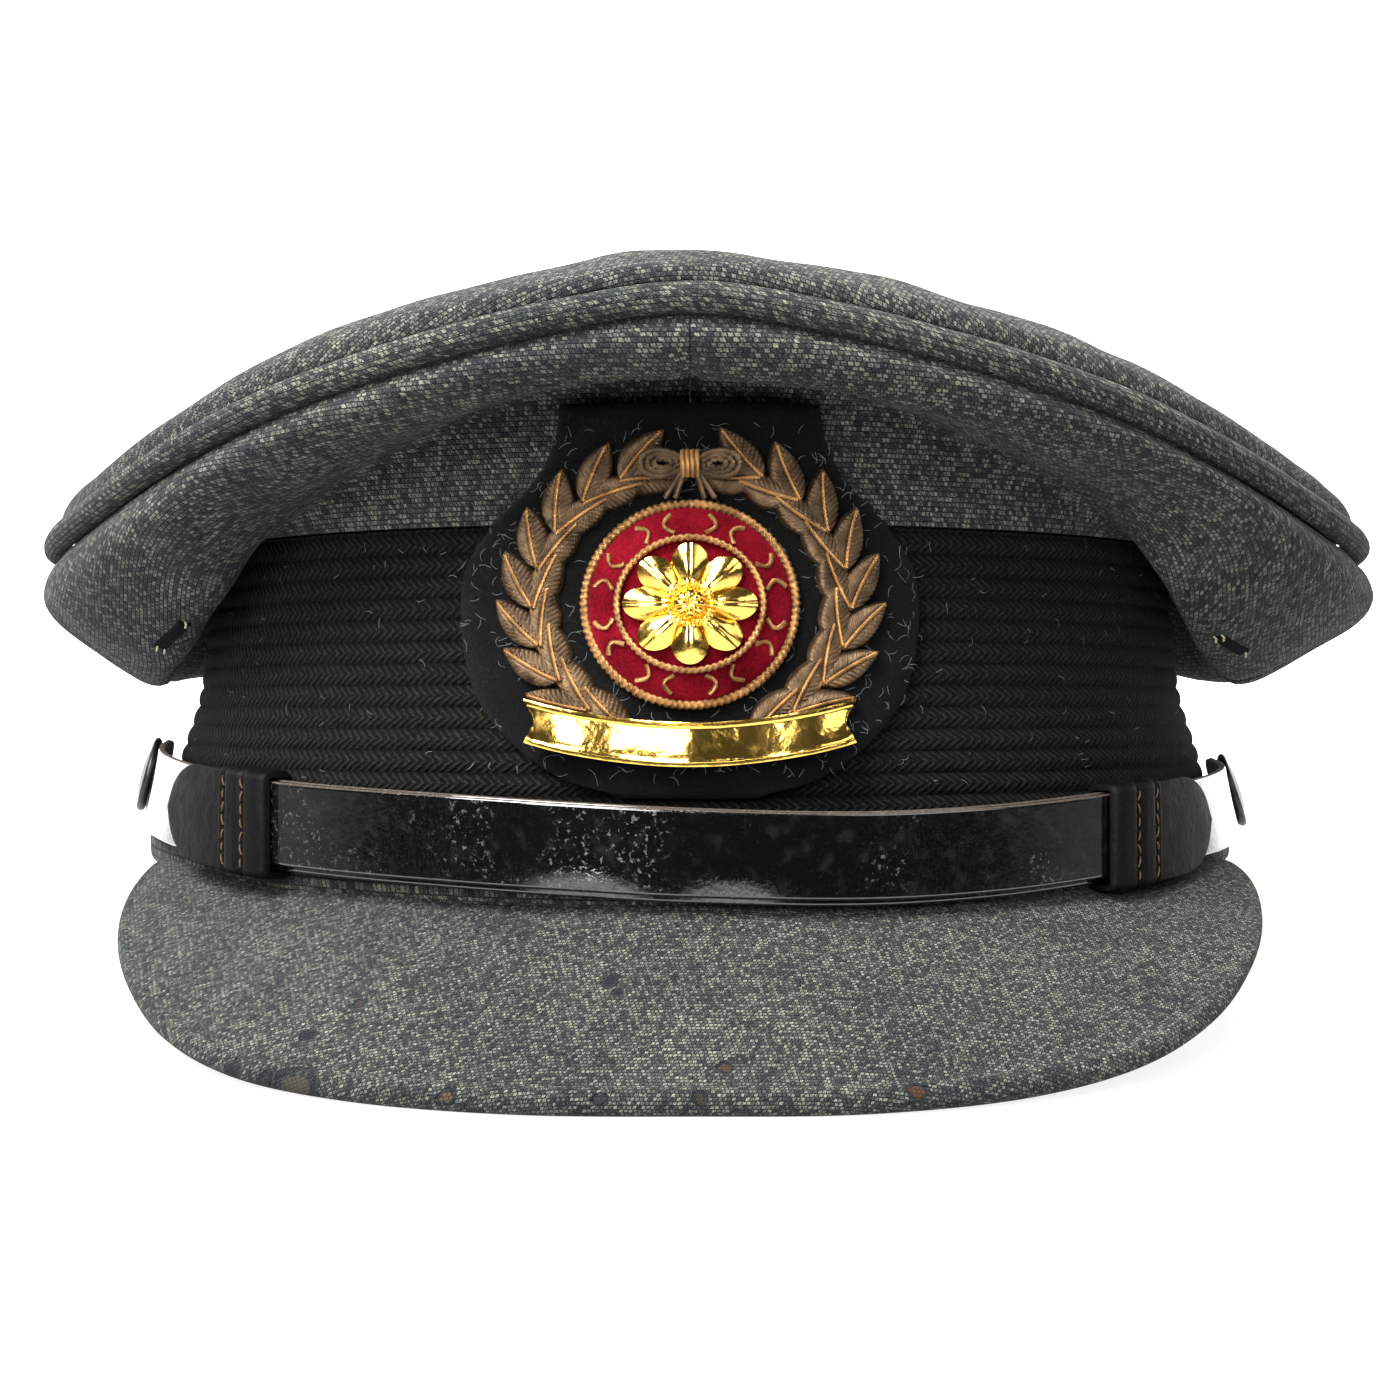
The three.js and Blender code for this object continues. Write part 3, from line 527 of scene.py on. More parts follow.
def tidy_mesh(mesh):
    """Joins corners that meet and turns every face outwards."""
    work = bmesh.new()
    work.from_mesh(mesh)
    bmesh.ops.remove_doubles(work, verts=work.verts, dist=0.004)
    bmesh.ops.dissolve_degenerate(work, edges=work.edges, dist=0.0005)
    bmesh.ops.recalc_face_normals(work, faces=work.faces)
    work.to_mesh(mesh)
    work.free()


def flat_grid(along_rows, along_columns):
    """Places on the flat cloth from lengths along the rows and the columns."""
    return np.stack(np.broadcast_arrays(along_rows, along_columns), -1)


def tube(piece, line, radius, sides=10, twist=0.0, ply=0.0, slot=0, closed=False):
    """Cord along a line of points. twist is its turns for each millimetre, ply how deep they cut."""
    ahead = unit(np.gradient(line, axis=0))
    if closed:
        ahead = unit(np.roll(line, -1, 0) - np.roll(line, 1, 0))
    side = unit(np.cross(ahead, [0.05, 1, 0.1]))
    top = np.cross(side, ahead)
    turn = np.linspace(0, 2 * np.pi, sides, endpoint=False)
    place = lengths(line)
    lay = 2 * np.pi * twist * place
    swell = np.asarray(radius) * np.ones(len(line))
    reach = swell[:, None] * (1 + ply * np.cos(2 * (turn[None] - lay[:, None])))
    ring = side[:, None] * np.cos(turn)[None, :, None] + top[:, None] * np.sin(turn)[None, :, None]
    points = line[:, None] + ring * reach[..., None]
    extra = 1 if closed else 0
    long = np.concatenate([place, place[-1:] + extra])[: len(line) + extra]
    around = np.linspace(0, 2 * np.pi * swell.mean(), sides + 1)
    piece.grid(points, flat_grid(long[:, None], around[None]), ring=closed, loop=True, slots=slot)
    if not closed:
        for end in (0, -1):
            cap = np.stack([points[end], np.broadcast_to(line[end], points[end].shape)])
            flat = flat_grid(np.zeros((2, 1)), around[None])
            piece.grid(cap, flat, loop=True, slots=slot)


# Finishes


class Recipe:
    """Node tree of one material, built a step at a time."""

    def __init__(self, name, **settings):
        self.material = bpy.data.materials.new(name)
        self.material.use_nodes = True
        self.tree = self.material.node_tree
        self.shader = self.tree.nodes["Principled BSDF"]
        self.set(**settings)

    def set(self, **settings):
        for name, value in settings.items():
            self.feed(self.shader.inputs[name.replace("_", " ")], value)

    def feed(self, socket, value):
        if isinstance(value, bpy.types.NodeSocket):
            self.tree.links.new(value, socket)
        else:
            socket.default_value = value

    def add(self, kind, inputs, **settings):
        node = self.tree.nodes.new(kind)
        for name, value in settings.items():
            setattr(node, name, value)
        for name, value in inputs.items():
            self.feed(node.inputs[name], value)
        return node

    def math(self, operation, *values):
        node = self.add("ShaderNodeMath", {}, operation=operation)
        for socket, value in zip(node.inputs, values):
            self.feed(socket, value)
        return node.outputs[0]

    def flat(self):
        """Place on the flat cloth, in millimetres."""
        return self.add("ShaderNodeUVMap", {}, uv_map="Cloth").outputs[0]

    def split(self, vector):
        return self.add("ShaderNodeSeparateXYZ", {0: vector}).outputs[:2]

    def join(self, x, y):
        return self.add("ShaderNodeCombineXYZ", {0: x, 1: y}).outputs[0]

    def solid(self):
        """Place in space, in millimetres."""
        place = self.add("ShaderNodeTexCoord", {}).outputs["Object"]
        scaled = self.add("ShaderNodeVectorMath", {0: place}, operation="SCALE")
        scaled.inputs["Scale"].default_value = 1 / MM
        return scaled.outputs[0]

    def noise(self, vector, size, detail=2.0, roughness=0.5):
        """Noise whose main lumps are about size millimetres across."""
        inputs = {"Vector": vector, "Scale": 1 / size, "Detail": detail, "Roughness": roughness}
        return self.add("ShaderNodeTexNoise", inputs).outputs[0]

    def ramp(self, value, *stops):
        node = self.add("ShaderNodeValToRGB", {0: value})
        elements = node.color_ramp.elements
        while len(elements) < len(stops):
            elements.new(0.5)
        for element, (place, colour) in zip(elements, stops):
            element.position = place
            element.color = shade(colour)
        return node.outputs[0]

    def step(self, value, low, high):
        """0 below low, 1 above high and smooth between them."""
        inputs = {0: value, 1: low, 2: high, 3: 0.0, 4: 1.0}
        node = self.add("ShaderNodeMapRange", inputs, interpolation_type="SMOOTHSTEP")
        return node.outputs[0]

    def mix(self, share, first, second):
        node = self.add("ShaderNodeMix", {0: share}, data_type="RGBA")
        self.feed(node.inputs[6], first if isinstance(first, bpy.types.NodeSocket) else shade(first))
        self.feed(node.inputs[7], second if isinstance(second, bpy.types.NodeSocket) else shade(second))
        return node.outputs[2]

    def bump(self, height, depth):
        """Relief of a height from 0 to 1, depth millimetres deep."""
        inputs = {"Height": height, "Distance": depth * MM, "Strength": 1.0}
        return self.add("ShaderNodeBump", inputs).outputs[0]


def shade(colour):
    """Linear colour with alpha from a grey or from sRGB numbers out of 255."""
    parts = np.broadcast_to(np.asarray(colour) / 255, 3)
    linear = np.where(parts > 0.04, ((parts + 0.055) / 1.055) ** 2.4, parts / 12.92)
    return (*linear.tolist(), 1.0)


def wool(name, pale, worn, lean=0.33, cell=0.8, wander=0.3, nips=()):
    """Blue-grey heather twill. pale lightens it, worn is how much of the nap has gone, and cell
    is the width of a thread in millimetres."""
    r = Recipe(name, Roughness=0.95, Specular_IOR_Level=0.15)
    r.set(Sheen_Weight=0.07, Sheen_Roughness=0.4, Sheen_Tint=shade((200, 206, 200)))
    u, v = r.split(r.flat())
    sheared = r.join(r.math("MULTIPLY_ADD", v, lean, u), v)
    place = r.solid()
    shift = r.math("MULTIPLY", r.math("SUBTRACT", r.noise(place, 1.6), 0.5), wander)
    threads = r.add(
        "ShaderNodeTexBrick",
        {
            "Vector": r.join(r.math("ADD", r.split(sheared)[0], shift), v),
            "Color1": shade(0),
            "Color2": shade(255),
            "Mortar": shade(110),
            "Scale": 1.0,
            "Mortar Size": cell * 0.15,
            "Mortar Smooth": 1.0,
            "Brick Width": cell,
            "Row Height": cell * 0.9,
        },
        offset=0.5,
    )
    fleck = r.noise(place, 0.22, 2, 0.7)
    cloud = r.noise(place, 9, 3)
    blotch = r.noise(place, 38, 2)
    tone = r.math("MULTIPLY_ADD", threads.outputs[0], 0.26, r.math("MULTIPLY", fleck, 0.8))
    tone = r.math("MULTIPLY_ADD", cloud, 0.12, tone)
    tone = r.math("MULTIPLY_ADD", r.math("SUBTRACT", blotch, 0.5), 0.12, tone)
    tone = r.math("ADD", tone, pale - 0.08)
    colour = r.ramp(
        tone,
        (0.28, (12, 15, 19)),
        (0.42, (31, 35, 38)),
        (0.53, (58, 61, 58)),
        (0.62, (88, 91, 82)),
        (0.8, (138, 139, 124)),
    )
    gap = threads.outputs[1]
    # Darker in the gaps between threads: painted shade
    colour = r.mix(r.math("MULTIPLY", gap, 0.7), colour, (9, 12, 16))
    height = r.math("SUBTRACT", 1.0, gap)
    height = r.math("MULTIPLY_ADD", fleck, 0.6, height)
    for nip in nips:
        colour, height = worn_hole(r, place, colour, height, *nip)
    r.set(Base_Color=colour, Normal=r.bump(height, 0.2 + 0.05 * worn))
    return r.material


def worn_hole(r, place, colour, height, x, y, size, tint):
    """Colour and height of cloth with a ragged hole worn into its nap, and a dark ring of painted shade
    round its rim.
    """
    apart = r.add("ShaderNodeVectorMath", {0: r.flat(), 1: (x, y, 0)}, operation="DISTANCE")
    ragged = r.math("MULTIPLY_ADD", r.noise(place, 1.3, 3), size * 2, apart.outputs["Value"])
    spot = r.math("SUBTRACT", 1.0, r.step(ragged, size * 2.1, size * 2.5))
    inside = r.math("SUBTRACT", 1.0, r.step(ragged, size * 1.6, size * 1.8))
    # The dark ring round the hole is painted shade on its rim
    colour = r.mix(r.math("MULTIPLY", spot, 0.85), colour, (20, 22, 28))
    colour = r.mix(inside, colour, tint)
    return colour, r.math("SUBTRACT", height, r.math("MULTIPLY", spot, 2.2))


def braid():
    """Ribbed black mohair braid: slanting strands on each rib, painted shade in the grooves between
    ribs, and pale lint.
    """
    r = Recipe("black_braid", Roughness=0.95, Specular_IOR_Level=0.08)
    r.set(Sheen_Weight=0.012, Sheen_Roughness=0.4, Sheen_Tint=shade(190))
    u, v = r.split(r.flat())
    place = r.solid()
    rib = r.math("SUBTRACT", r.math("FRACT", r.math("DIVIDE", v, RIB_PITCH)), 0.5)
    slant = r.math("MULTIPLY", r.math("ABSOLUTE", rib), 2.9)
    jitter = r.math("MULTIPLY", r.noise(place, 2.6), 0.7)
    phase = r.math("ADD", r.math("MULTIPLY_ADD", u, 1 / 1.5, slant), jitter)
    strand = r.math("SINE", r.math("MULTIPLY", phase, 2 * math.pi))
    strand = r.math("MULTIPLY_ADD", strand, 0.5, 0.5)
    fibre = r.noise(place, 0.35, 3, 0.6)
    fuzz = r.noise(place, 1.3, 3, 0.7)
    height = r.math("MULTIPLY_ADD", fibre, 0.7, r.math("MULTIPLY", strand, 0.6))
    height = r.math("MULTIPLY_ADD", fuzz, 1.1, height)
    tone = r.math("MULTIPLY_ADD", strand, 0.2, r.math("MULTIPLY", fibre, 0.6))
    tone = r.math("MULTIPLY_ADD", fuzz, 0.3, tone)
    colour = r.ramp(tone, (0.3, (3, 3, 3)), (0.55, (13, 13, 11)), (0.75, (38, 38, 33)))
    # Painted shade in the grooves between the ribs
    rib_groove_shade = r.math("POWER", r.math("MULTIPLY", r.math("ABSOLUTE", rib), 2.0), 3.0)
    colour = r.mix(r.math("MULTIPLY", rib_groove_shade, 0.8), colour, (1, 1, 1))
    lint = r.step(r.noise(place, 1.1, 4, 0.75), 0.7, 0.78)
    colour = r.mix(r.math("MULTIPLY", lint, 0.35), colour, (120, 118, 106))
    r.set(Base_Color=colour, Normal=r.bump(height, 0.4))
    return r.material


def patent():
    """Glossy black leather, dusty and finely crazed, with a painted reflection lightening it towards
    its ends.
    """
    r = Recipe("patent_leather", Specular_IOR_Level=0.6, Coat_Weight=1.0, Coat_Roughness=0.03)
    u, v = r.split(r.flat())
    place = r.solid()
    # Dust lies thickest towards the left keeper
    dust = r.step(r.noise(place, 0.8, 3, 0.7), 0.56, 0.68)
    left = r.math("SUBTRACT", 0.0, r.step(u, -75.0, 20.0))
    spread = r.math("ADD", r.noise(place, 12, 2), r.math("MULTIPLY_ADD", left, 0.14, 0.06))
    dust = r.math("MULTIPLY", dust, r.step(spread, 0.42, 0.6))
    side = r.step(r.math("ABSOLUTE", u), 84.0, 96.0)
    haze = r.step(r.noise(place, 2.4, 2), 0.5, 0.8)
    grain = r.noise(place, 0.9, 3)
    swell = r.noise(place, 7, 2)
    # Two buckled places at the lower edge, where the varnish has rippled
    away = [r.math("ABSOLUTE", r.math("SUBTRACT", u, middle)) for middle in (-13.5, 5.6)]
    away = r.step(r.math("MINIMUM", *away), 1.0, 6.5)
    low = r.math("SUBTRACT", 1.0, r.step(v, -4.9, -1.5))
    worn = r.math("MULTIPLY", r.math("SUBTRACT", 1.0, away), low)
    cracks = r.noise(r.join(r.math("MULTIPLY", u, 2.4), r.math("MULTIPLY", v, 0.35)), 1.6, 3, 0.7)
    ridge = r.math("ABSOLUTE", r.math("SUBTRACT", cracks, 0.5))
    crack = r.math("SUBTRACT", 1.0, r.step(ridge, 0.0, 0.03))
    crazing = r.math("MULTIPLY", crack, r.math("MULTIPLY_ADD", side, 0.3, 0.05))
    relief = r.math("MULTIPLY_ADD", swell, 0.4, r.math("MULTIPLY", grain, 0.22))
    relief = r.math("SUBTRACT", relief, crazing)
    relief = r.math("MULTIPLY_ADD", r.math("MULTIPLY", worn, grain), 2.2, relief)
    colour = r.mix(r.math("MULTIPLY", haze, 0.07), (4, 4, 4), (84, 85, 84))
    colour = r.mix(r.math("MULTIPLY", dust, 0.45), colour, (84, 85, 84))
    # Lighter warm tone towards the strap's ends: painted reflection of the bright surroundings
    colour = r.mix(r.math("MULTIPLY", side, 0.3), colour, (96, 92, 82))
    r.set(
        Base_Color=colour,
        Roughness=r.math("MULTIPLY_ADD", dust, 0.4, r.math("MULTIPLY_ADD", grain, 0.08, 0.03)),
        Normal=r.bump(relief, 0.1),
    )
    return r.material


def dull_leather():
    """Black leather of the keepers and tabs, with less gloss."""
    r = Recipe("keeper_leather", Specular_IOR_Level=0.08)
    place = r.solid()
    grain = r.noise(place, 0.7, 4, 0.6)
    swell = r.noise(place, 4, 2)
    colour = r.ramp(grain, (0.3, (3, 3, 3)), (0.7, (9, 9, 8)))
    rough = r.math("MULTIPLY_ADD", swell, 0.25, 0.42)
    height = r.math("MULTIPLY_ADD", grain, 0.3, swell)
    r.set(Base_Color=colour, Roughness=rough, Normal=r.bump(height, 0.3))
    return r.material


def cut_leather():
    """Brown cut edge and back of the strap."""
    r = Recipe("cut_leather", Roughness=0.8)
    grain = r.noise(r.solid(), 0.5, 4, 0.7)
    colour = r.ramp(grain, (0.3, (30, 22, 17)), (0.55, (62, 52, 42)), (0.75, (110, 96, 78)))
    r.set(Base_Color=colour, Normal=r.bump(grain, 0.15))
    return r.material


def button_black():
    r = Recipe("button_black", Roughness=0.35, Base_Color=shade((14, 14, 15)))
    r.set(Normal=r.bump(r.noise(r.solid(), 1.2, 3), 0.05))
    return r.material


def felt():
    """Black felt with a grey bloom of worn fibres."""
    r = Recipe("black_felt", Roughness=1.0, Specular_IOR_Level=0.1)
    r.set(Sheen_Weight=0.05, Sheen_Roughness=0.5, Sheen_Tint=shade(170))
    place = r.solid()
    fibre = r.noise(place, 0.5, 5, 0.7)
    worn = r.noise(place, 9, 2)
    tone = r.math("MULTIPLY_ADD", worn, 0.35, r.math("MULTIPLY", fibre, 0.65))
    colour = r.ramp(tone, (0.3, (3, 3, 3)), (0.55, (9, 9, 9)), (0.8, (32, 33, 33)))
    r.set(Base_Color=colour, Normal=r.bump(fibre, 0.35))
    return r.material


def bullion(name, dark, light):
    """Tarnished wire coil: fine turns along each strand."""
    r = Recipe(name, Metallic=0.85)
    u, v = r.split(r.flat())
    place = r.solid()
    phase = r.math("MULTIPLY_ADD", v, 0.8, u)
    turns = r.math("SINE", r.math("MULTIPLY", phase, 2 * math.pi / 0.3))
    turns = r.math("MULTIPLY_ADD", turns, 0.5, 0.5)
    tarnish = r.noise(place, 2.5, 3, 0.6)
    tone = r.math("MULTIPLY_ADD", turns, 0.3, r.math("MULTIPLY", tarnish, 0.7))
    colour = r.ramp(tone, (0.3, dark), (0.75, light))
    rough = r.math("MULTIPLY_ADD", tarnish, 0.3, 0.25)
    r.set(Base_Color=colour, Roughness=rough, Normal=r.bump(turns, 0.07))
    return r.material


def velvet():
    """Deep red pile, brighter where it is seen along its fibres."""
    r = Recipe("red_velvet", Roughness=1.0, Specular_IOR_Level=0.05)
    r.set(Sheen_Weight=0.3, Sheen_Roughness=0.35, Sheen_Tint=shade((255, 60, 90)))
    place = r.solid()
    pile = r.noise(place, 0.45, 4, 0.65)
    brushed = r.noise(place, 6, 2)
    tone = r.math("MULTIPLY_ADD", brushed, 0.5, r.math("MULTIPLY", pile, 0.5))
    colour = r.ramp(tone, (0.3, (44, 0, 8)), (0.55, (104, 8, 22)), (0.8, (148, 24, 40)))
    r.set(Base_Color=colour, Normal=r.bump(pile, 0.3))
    return r.material


def gilt():
    """Polished gilding with small dents and darker tarnished patches."""
    r = Recipe("gilt_metal", Metallic=1.0)
    place = r.solid()
    beaten = r.noise(place, 1.8, 2)
    tarnish = r.step(r.noise(place, 4, 4, 0.6), 0.52, 0.75)
    colour = r.mix(r.math("MULTIPLY", tarnish, 0.5), (255, 208, 104), (176, 120, 44))
    r.set(
        Base_Color=colour,
        Roughness=r.math("MULTIPLY_ADD", tarnish, 0.2, 0.16),
        Normal=r.bump(beaten, 0.12),
    )
    return r.material


def thread(name, colour):
    return Recipe(name, Roughness=0.9, Specular_IOR_Level=0.1, Base_Color=shade(colour)).material


# Places of worn holes on the peak: across and down its slope in millimetres, size, and tint
NIPS = (
    (-43.8, 98.6, 0.85, (44, 40, 36)),
    (-50.1, 103.0, 0.9, (14, 17, 22)),
    (-60.5, 106.5, 1.3, (17, 20, 25)),
    (-51.6, 112.4, 2.9, (56, 53, 47)),
    (-55.2, 110.6, 1.6, (24, 25, 27)),
    (-30.7, 118.6, 0.95, (66, 56, 46)),
    (-11.4, 120.4, 0.7, (40, 40, 44)),
    (1.3, 120.4, 0.8, (44, 40, 35)),
    (4.5, 115.1, 0.8, (56, 44, 34)),
    (-10.5, 99.0, 1.0, (16, 20, 32)),
    (-9.6, 101.5, 0.6, (16, 19, 28)),
    (28.6, 118.2, 1.2, (60, 43, 30)),
)

CROWN_WOOL = wool("crown_wool", 0.0, 0.3)
WELT_WOOL = wool("welt_wool", 0.01, 0.5, lean=1.0)
PEAK_WOOL = wool("peak_wool", -0.01, 0.9, cell=0.58, wander=0.45, nips=NIPS)
HEM_WOOL = wool("hem_wool", 0.0, 0.5)
BRAID = braid()
PATENT = patent()
DULL = dull_leather()
CUT = cut_leather()
BUTTON = button_black()
FELT = felt()
BRONZE = bullion("bronze_bullion", (38, 28, 22), (138, 112, 84))
COPPER = bullion("copper_bullion", (96, 62, 34), (214, 164, 104))
VELVET = velvet()
GILT = gilt()
PALE_THREAD = thread("pale_thread", (168, 160, 138))
# Black that is painted shade in stitch holes, in the slit's opening and on the strap's lower edge; also
# dark thread
DARK_THREAD_AND_SHADE = thread("dark_thread_and_shade", (9, 8, 8))
TAN_THREAD = thread("tan_thread", (84, 70, 50))
LINT = thread("grey_lint", (112, 116, 118))

# Band and hem


def ring_turns(count):
    """Angles all round, without the last one, and lengths round the cap with it."""
    angle = np.linspace(-180, 180, count, endpoint=False)
    flat = np.linspace(-180, 180, count + 1) * math.pi / 180 * (band_foot[0] + band_foot[1]) / 2
    return angle, flat


def make_band():
    angle, flat = ring_turns(360)
    share = np.linspace(0, 1, 137)
    foot = foot_height(angle)
    z = foot[:, None] + (BAND_HEIGHT - foot[:, None]) * share
    rib = np.abs(np.cos(np.pi * z / RIB_PITCH + np.pi / 2)) ** 0.6
    out = RIB_DEPTH * (rib - 0.7)
    turn = np.broadcast_to(angle[:, None], z.shape)
    face = band_point(turn, z, out)
    back = band_point(turn, z, -BAND_WALL)
    up = np.concatenate([z, z[:1]])
    piece = Piece()
    piece.wall(face, back, flat_grid(flat[:, None], up), ring=True)
    return piece.build("band_braid", [BRAID], "band")


def make_hem():
    angle, flat = ring_turns(360)
    turn = np.linspace(0, 2 * np.pi, 28, endpoint=False)
    out = HEM_WALL / 2 * (1 + np.sign(np.cos(turn)) * np.abs(np.cos(turn)) ** 0.6)
    up = HEM_HEIGHT / 2 * (1 + np.sign(np.sin(turn)) * np.abs(np.sin(turn)) ** 0.6)
    level = foot_height(angle)[:, None] + up[None]
    reach = np.broadcast_to(GAP + out[None], level.shape)
    across = np.broadcast_to(angle[:, None], level.shape)
    points = oval(band_foot[0] + reach, band_foot[1] + reach, across, level)
    around = np.linspace(0, 13, 29)
    piece = Piece()
    piece.grid(points, flat_grid(flat[:, None], around[None]), ring=True, loop=True)
    return piece.build("hem_roll", [HEM_WOOL], "hem")


# Crown


def seam_turns(start, end):
    """Angles between two seams, closer together beside them."""
    close = np.array([0, 0.12, 0.28, 0.48, 0.7, 0.95, 1.25])
    middle = np.arange(start + 1.8, end - 1.79, 0.7)
    edge = math.degrees(GAP / 4 / band_top[0])
    return np.concatenate([start + edge + close, middle, (end - edge - close)[::-1]])


def make_quarter(name, node, start, end):
    angle = seam_turns(start, end)
    begin, _, out, _ = crown_frame(angle)
    profile = quarter_profiles(angle, 52)
    way = unit(np.gradient(profile, axis=1))
    normal = np.stack([way[..., 1], -way[..., 0]], -1)
    place = lengths(profile)
    share = place / place[:, -1:]
    around = np.radians(angle) * 100
    side = np.minimum(angle - start, end - angle) * LEVEL_PER_DEGREE
    fade = np.sin(np.pi * share) ** 0.7
    lift = 0.7 * ripple(around[:, None], place, 7) * fade
    lift -= SEAM_DEPTH * np.exp(-((side[:, None] / SEAM_SPREAD) ** 2)) * fade
    lift -= LIP_DEPTH * np.exp(-(((place[:, -1:] - place) / 1.6) ** 2))
    shaped = profile + normal * lift[..., None]
    inner = shaped - normal * CLOTH
    up = np.array([0, 0, 1.0])

    def stand(section):
        return begin[:, None] + out[:, None] * section[..., :1] + up * section[..., 1:]

    face = stand(shaped)
    piece = Piece()
    piece.wall(face, stand(inner), flat_grid(around[:, None], place))
    slit = VENT_SLITS.get(node)
    if slit:
        make_vent_slit(node, angle, place, face, *slit)
    return piece.build(name, [CROWN_WOOL], node)


def make_vent_slit(node, angle, place, face, *ends):
    """Dark worked slit on the crown's slope, with pale ends of thread; its dark tubes are partly
    painted shade of the opening.
    """
    turn, level = zip(*sorted(ends))
    rows = np.flatnonzero((angle >= turn[0]) & (angle <= turn[1]))
    middle = np.interp(angle[rows], turn, level)
    piece = Piece()
    lips = []
    # The middle dark tube is painted shade of the slit's opening, the outer two its worked lips
    for offset in (-VENT_LIP, 0, VENT_LIP):
        heights = middle + offset
        line = [
            [np.interp(height, place[row], axis) for axis in face[row].T]
            for row, height in zip(rows, heights)
        ]
        lips.append(np.array(line))
        tube(piece, lips[-1], 0.42, 8)
    tail = np.array([(0, 0, 0), (0.3, -0.5, -0.35), (0.2, -0.7, -0.95)])
    for lip, end in ((0, 0), (2, 0), (1, -1)):
        tube(piece, lips[lip][end] + tail, 0.17, 6, slot=1)
    name = "vent_slit_" + node.split("_")[-1]
    return piece.build(name, [DARK_THREAD_AND_SHADE, PALE_THREAD])


def make_welt():
    angle, flat = ring_turns(540)
    _, welt, out, _ = crown_frame(angle)
    turn = np.linspace(0, 2 * np.pi, 18, endpoint=False)
    uneven = 1 + 0.05 * ripple(angle * 1.9, turn[:, None] * 2, 3).T
    across = WELT_RADIUS * np.cos(turn)[None] * uneven
    up = WELT_RADIUS * np.sin(turn)[None] * uneven
    points = welt[:, None] + out[:, None] * across[..., None] + np.array([0, 0, 1.0]) * up[..., None]
    around = np.linspace(0, 2 * np.pi * WELT_RADIUS, 19)
    piece = Piece()
    piece.grid(points, flat_grid(flat[:, None] * 1.2, around[None]), ring=True, loop=True)
    return piece.build("crown_piping", [WELT_WOOL], "crown_welt")


def top_point(angle, inward, middle):
    _, welt, _, _ = crown_frame(angle)
    level = along(TOP, "level", inward)
    puff = TOP_PUFF * along(CROWN, "puff", np.abs(angle))[:, None] * along(TOP, "puff", inward)
    place = welt[:, None] * (1 - inward)[None, :, None] + middle * inward[None, :, None]
    seated = welt[:, 2:] + WELT_RADIUS + GAP / 2
    place[..., 2] = seated * (1 - level) + middle[2] * level + puff
    return place


def make_top():
    angle, _ = ring_turns(360)
    inward = np.linspace(0, 1, 72) ** 2
    middle = np.array([0, CROWN_BACKSET, BAND_HEIGHT + TOP_CENTRE_RISE])
    face = top_point(angle, inward, middle)
    fade = 1 - np.exp(-inward / 0.03)
    face[..., 2] += 0.6 * ripple(face[..., 0], face[..., 1], 11) * fade
    tuck = LIP_DEPTH * (0.9 * np.exp(-(((inward - 0.022) / 0.02) ** 2)) - 1.3 * np.exp(-inward / 0.006))
    face += crown_frame(angle)[2][:, None] * tuck[None, :, None]
    inset = CLOTH / CROWN_HALF_WIDTH * (1 - inward)
    back = face.copy()
    back[..., :2] += (middle[:2] - face[..., :2]) * inset[None, :, None]
    back[..., 2] -= CLOTH * np.minimum(1, inward / TOP["inward"][2])
    from_middle = lengths(face[:, ::-1])[:, ::-1]
    turn = np.radians(np.append(angle, 180))
    away = np.concatenate([from_middle, from_middle[:1]])
    flat = np.stack([away * np.sin(turn)[:, None], -away * np.cos(turn)[:, None]], -1)
    piece = Piece()
    piece.wall(face, back, flat, ring=True)
    return piece.build("crown_cloth_top", [CROWN_WOOL], "crown_top")


# Peak


def peak_edge(left, right, count):
    def half(corner, sign):
        side = PEAK_EDGE["side"]
        sag = max(-sign, 0) * PEAK_LEFT_SAG * 9.5 * side**6 * (1 - side**2)
        return stack(
            sign * side * PEAK_HALF_WIDTH,
            corner[1] + (-PEAK_FRONT - corner[1]) * PEAK_EDGE["ahead"],
            corner[2] + (-PEAK_DROP - corner[2]) * PEAK_EDGE["drop"] + sign * PEAK_SKEW * side**3 - sag,
        )

    knots = np.concatenate([[left], half(left, -1)[::-1], half(right, 1)[1:], [right]])
    return catmull(knots[None], count)[0]


def peak_face(root_angle, root, edge, breadth, nose):
    """The peak's upper face from its root, which the hem covers, to where its edge rounds over."""
    first = np.minimum(PEAK_TUCK / np.maximum(breadth, 1), 0.3)
    spread = np.linspace(0, 1, 44)[None] * (1 - nose - first * 1.04)
    share = np.concatenate([0 * first, first * 1.01, first * 1.04 + spread], 1)
    face = root[:, None] + (edge - root)[:, None] * share[..., None]
    bulge = np.minimum(PEAK_BULGE, breadth / 4)
    face[..., 2] += bulge * 4 * share * (1 - share)
    fade = np.clip(np.minimum(share, 1 - share - nose) * 6, 0, 1)
    face[..., 2] += 0.35 * ripple(face[..., 0], face[..., 1], 5) * fade
    seat = along(PEAK_SEAT, "height", np.abs(root_angle))[:, None] - face[:, 2:3, 2]
    reach = np.clip((share - share[:, 2:3]) * breadth / 15, 0, 1)
    rise = np.maximum(seat, 0) * (1 - reach) ** 2 * (1 + 2 * reach)
    face[:, 2:, 2] += rise[:, 2:]
    return face


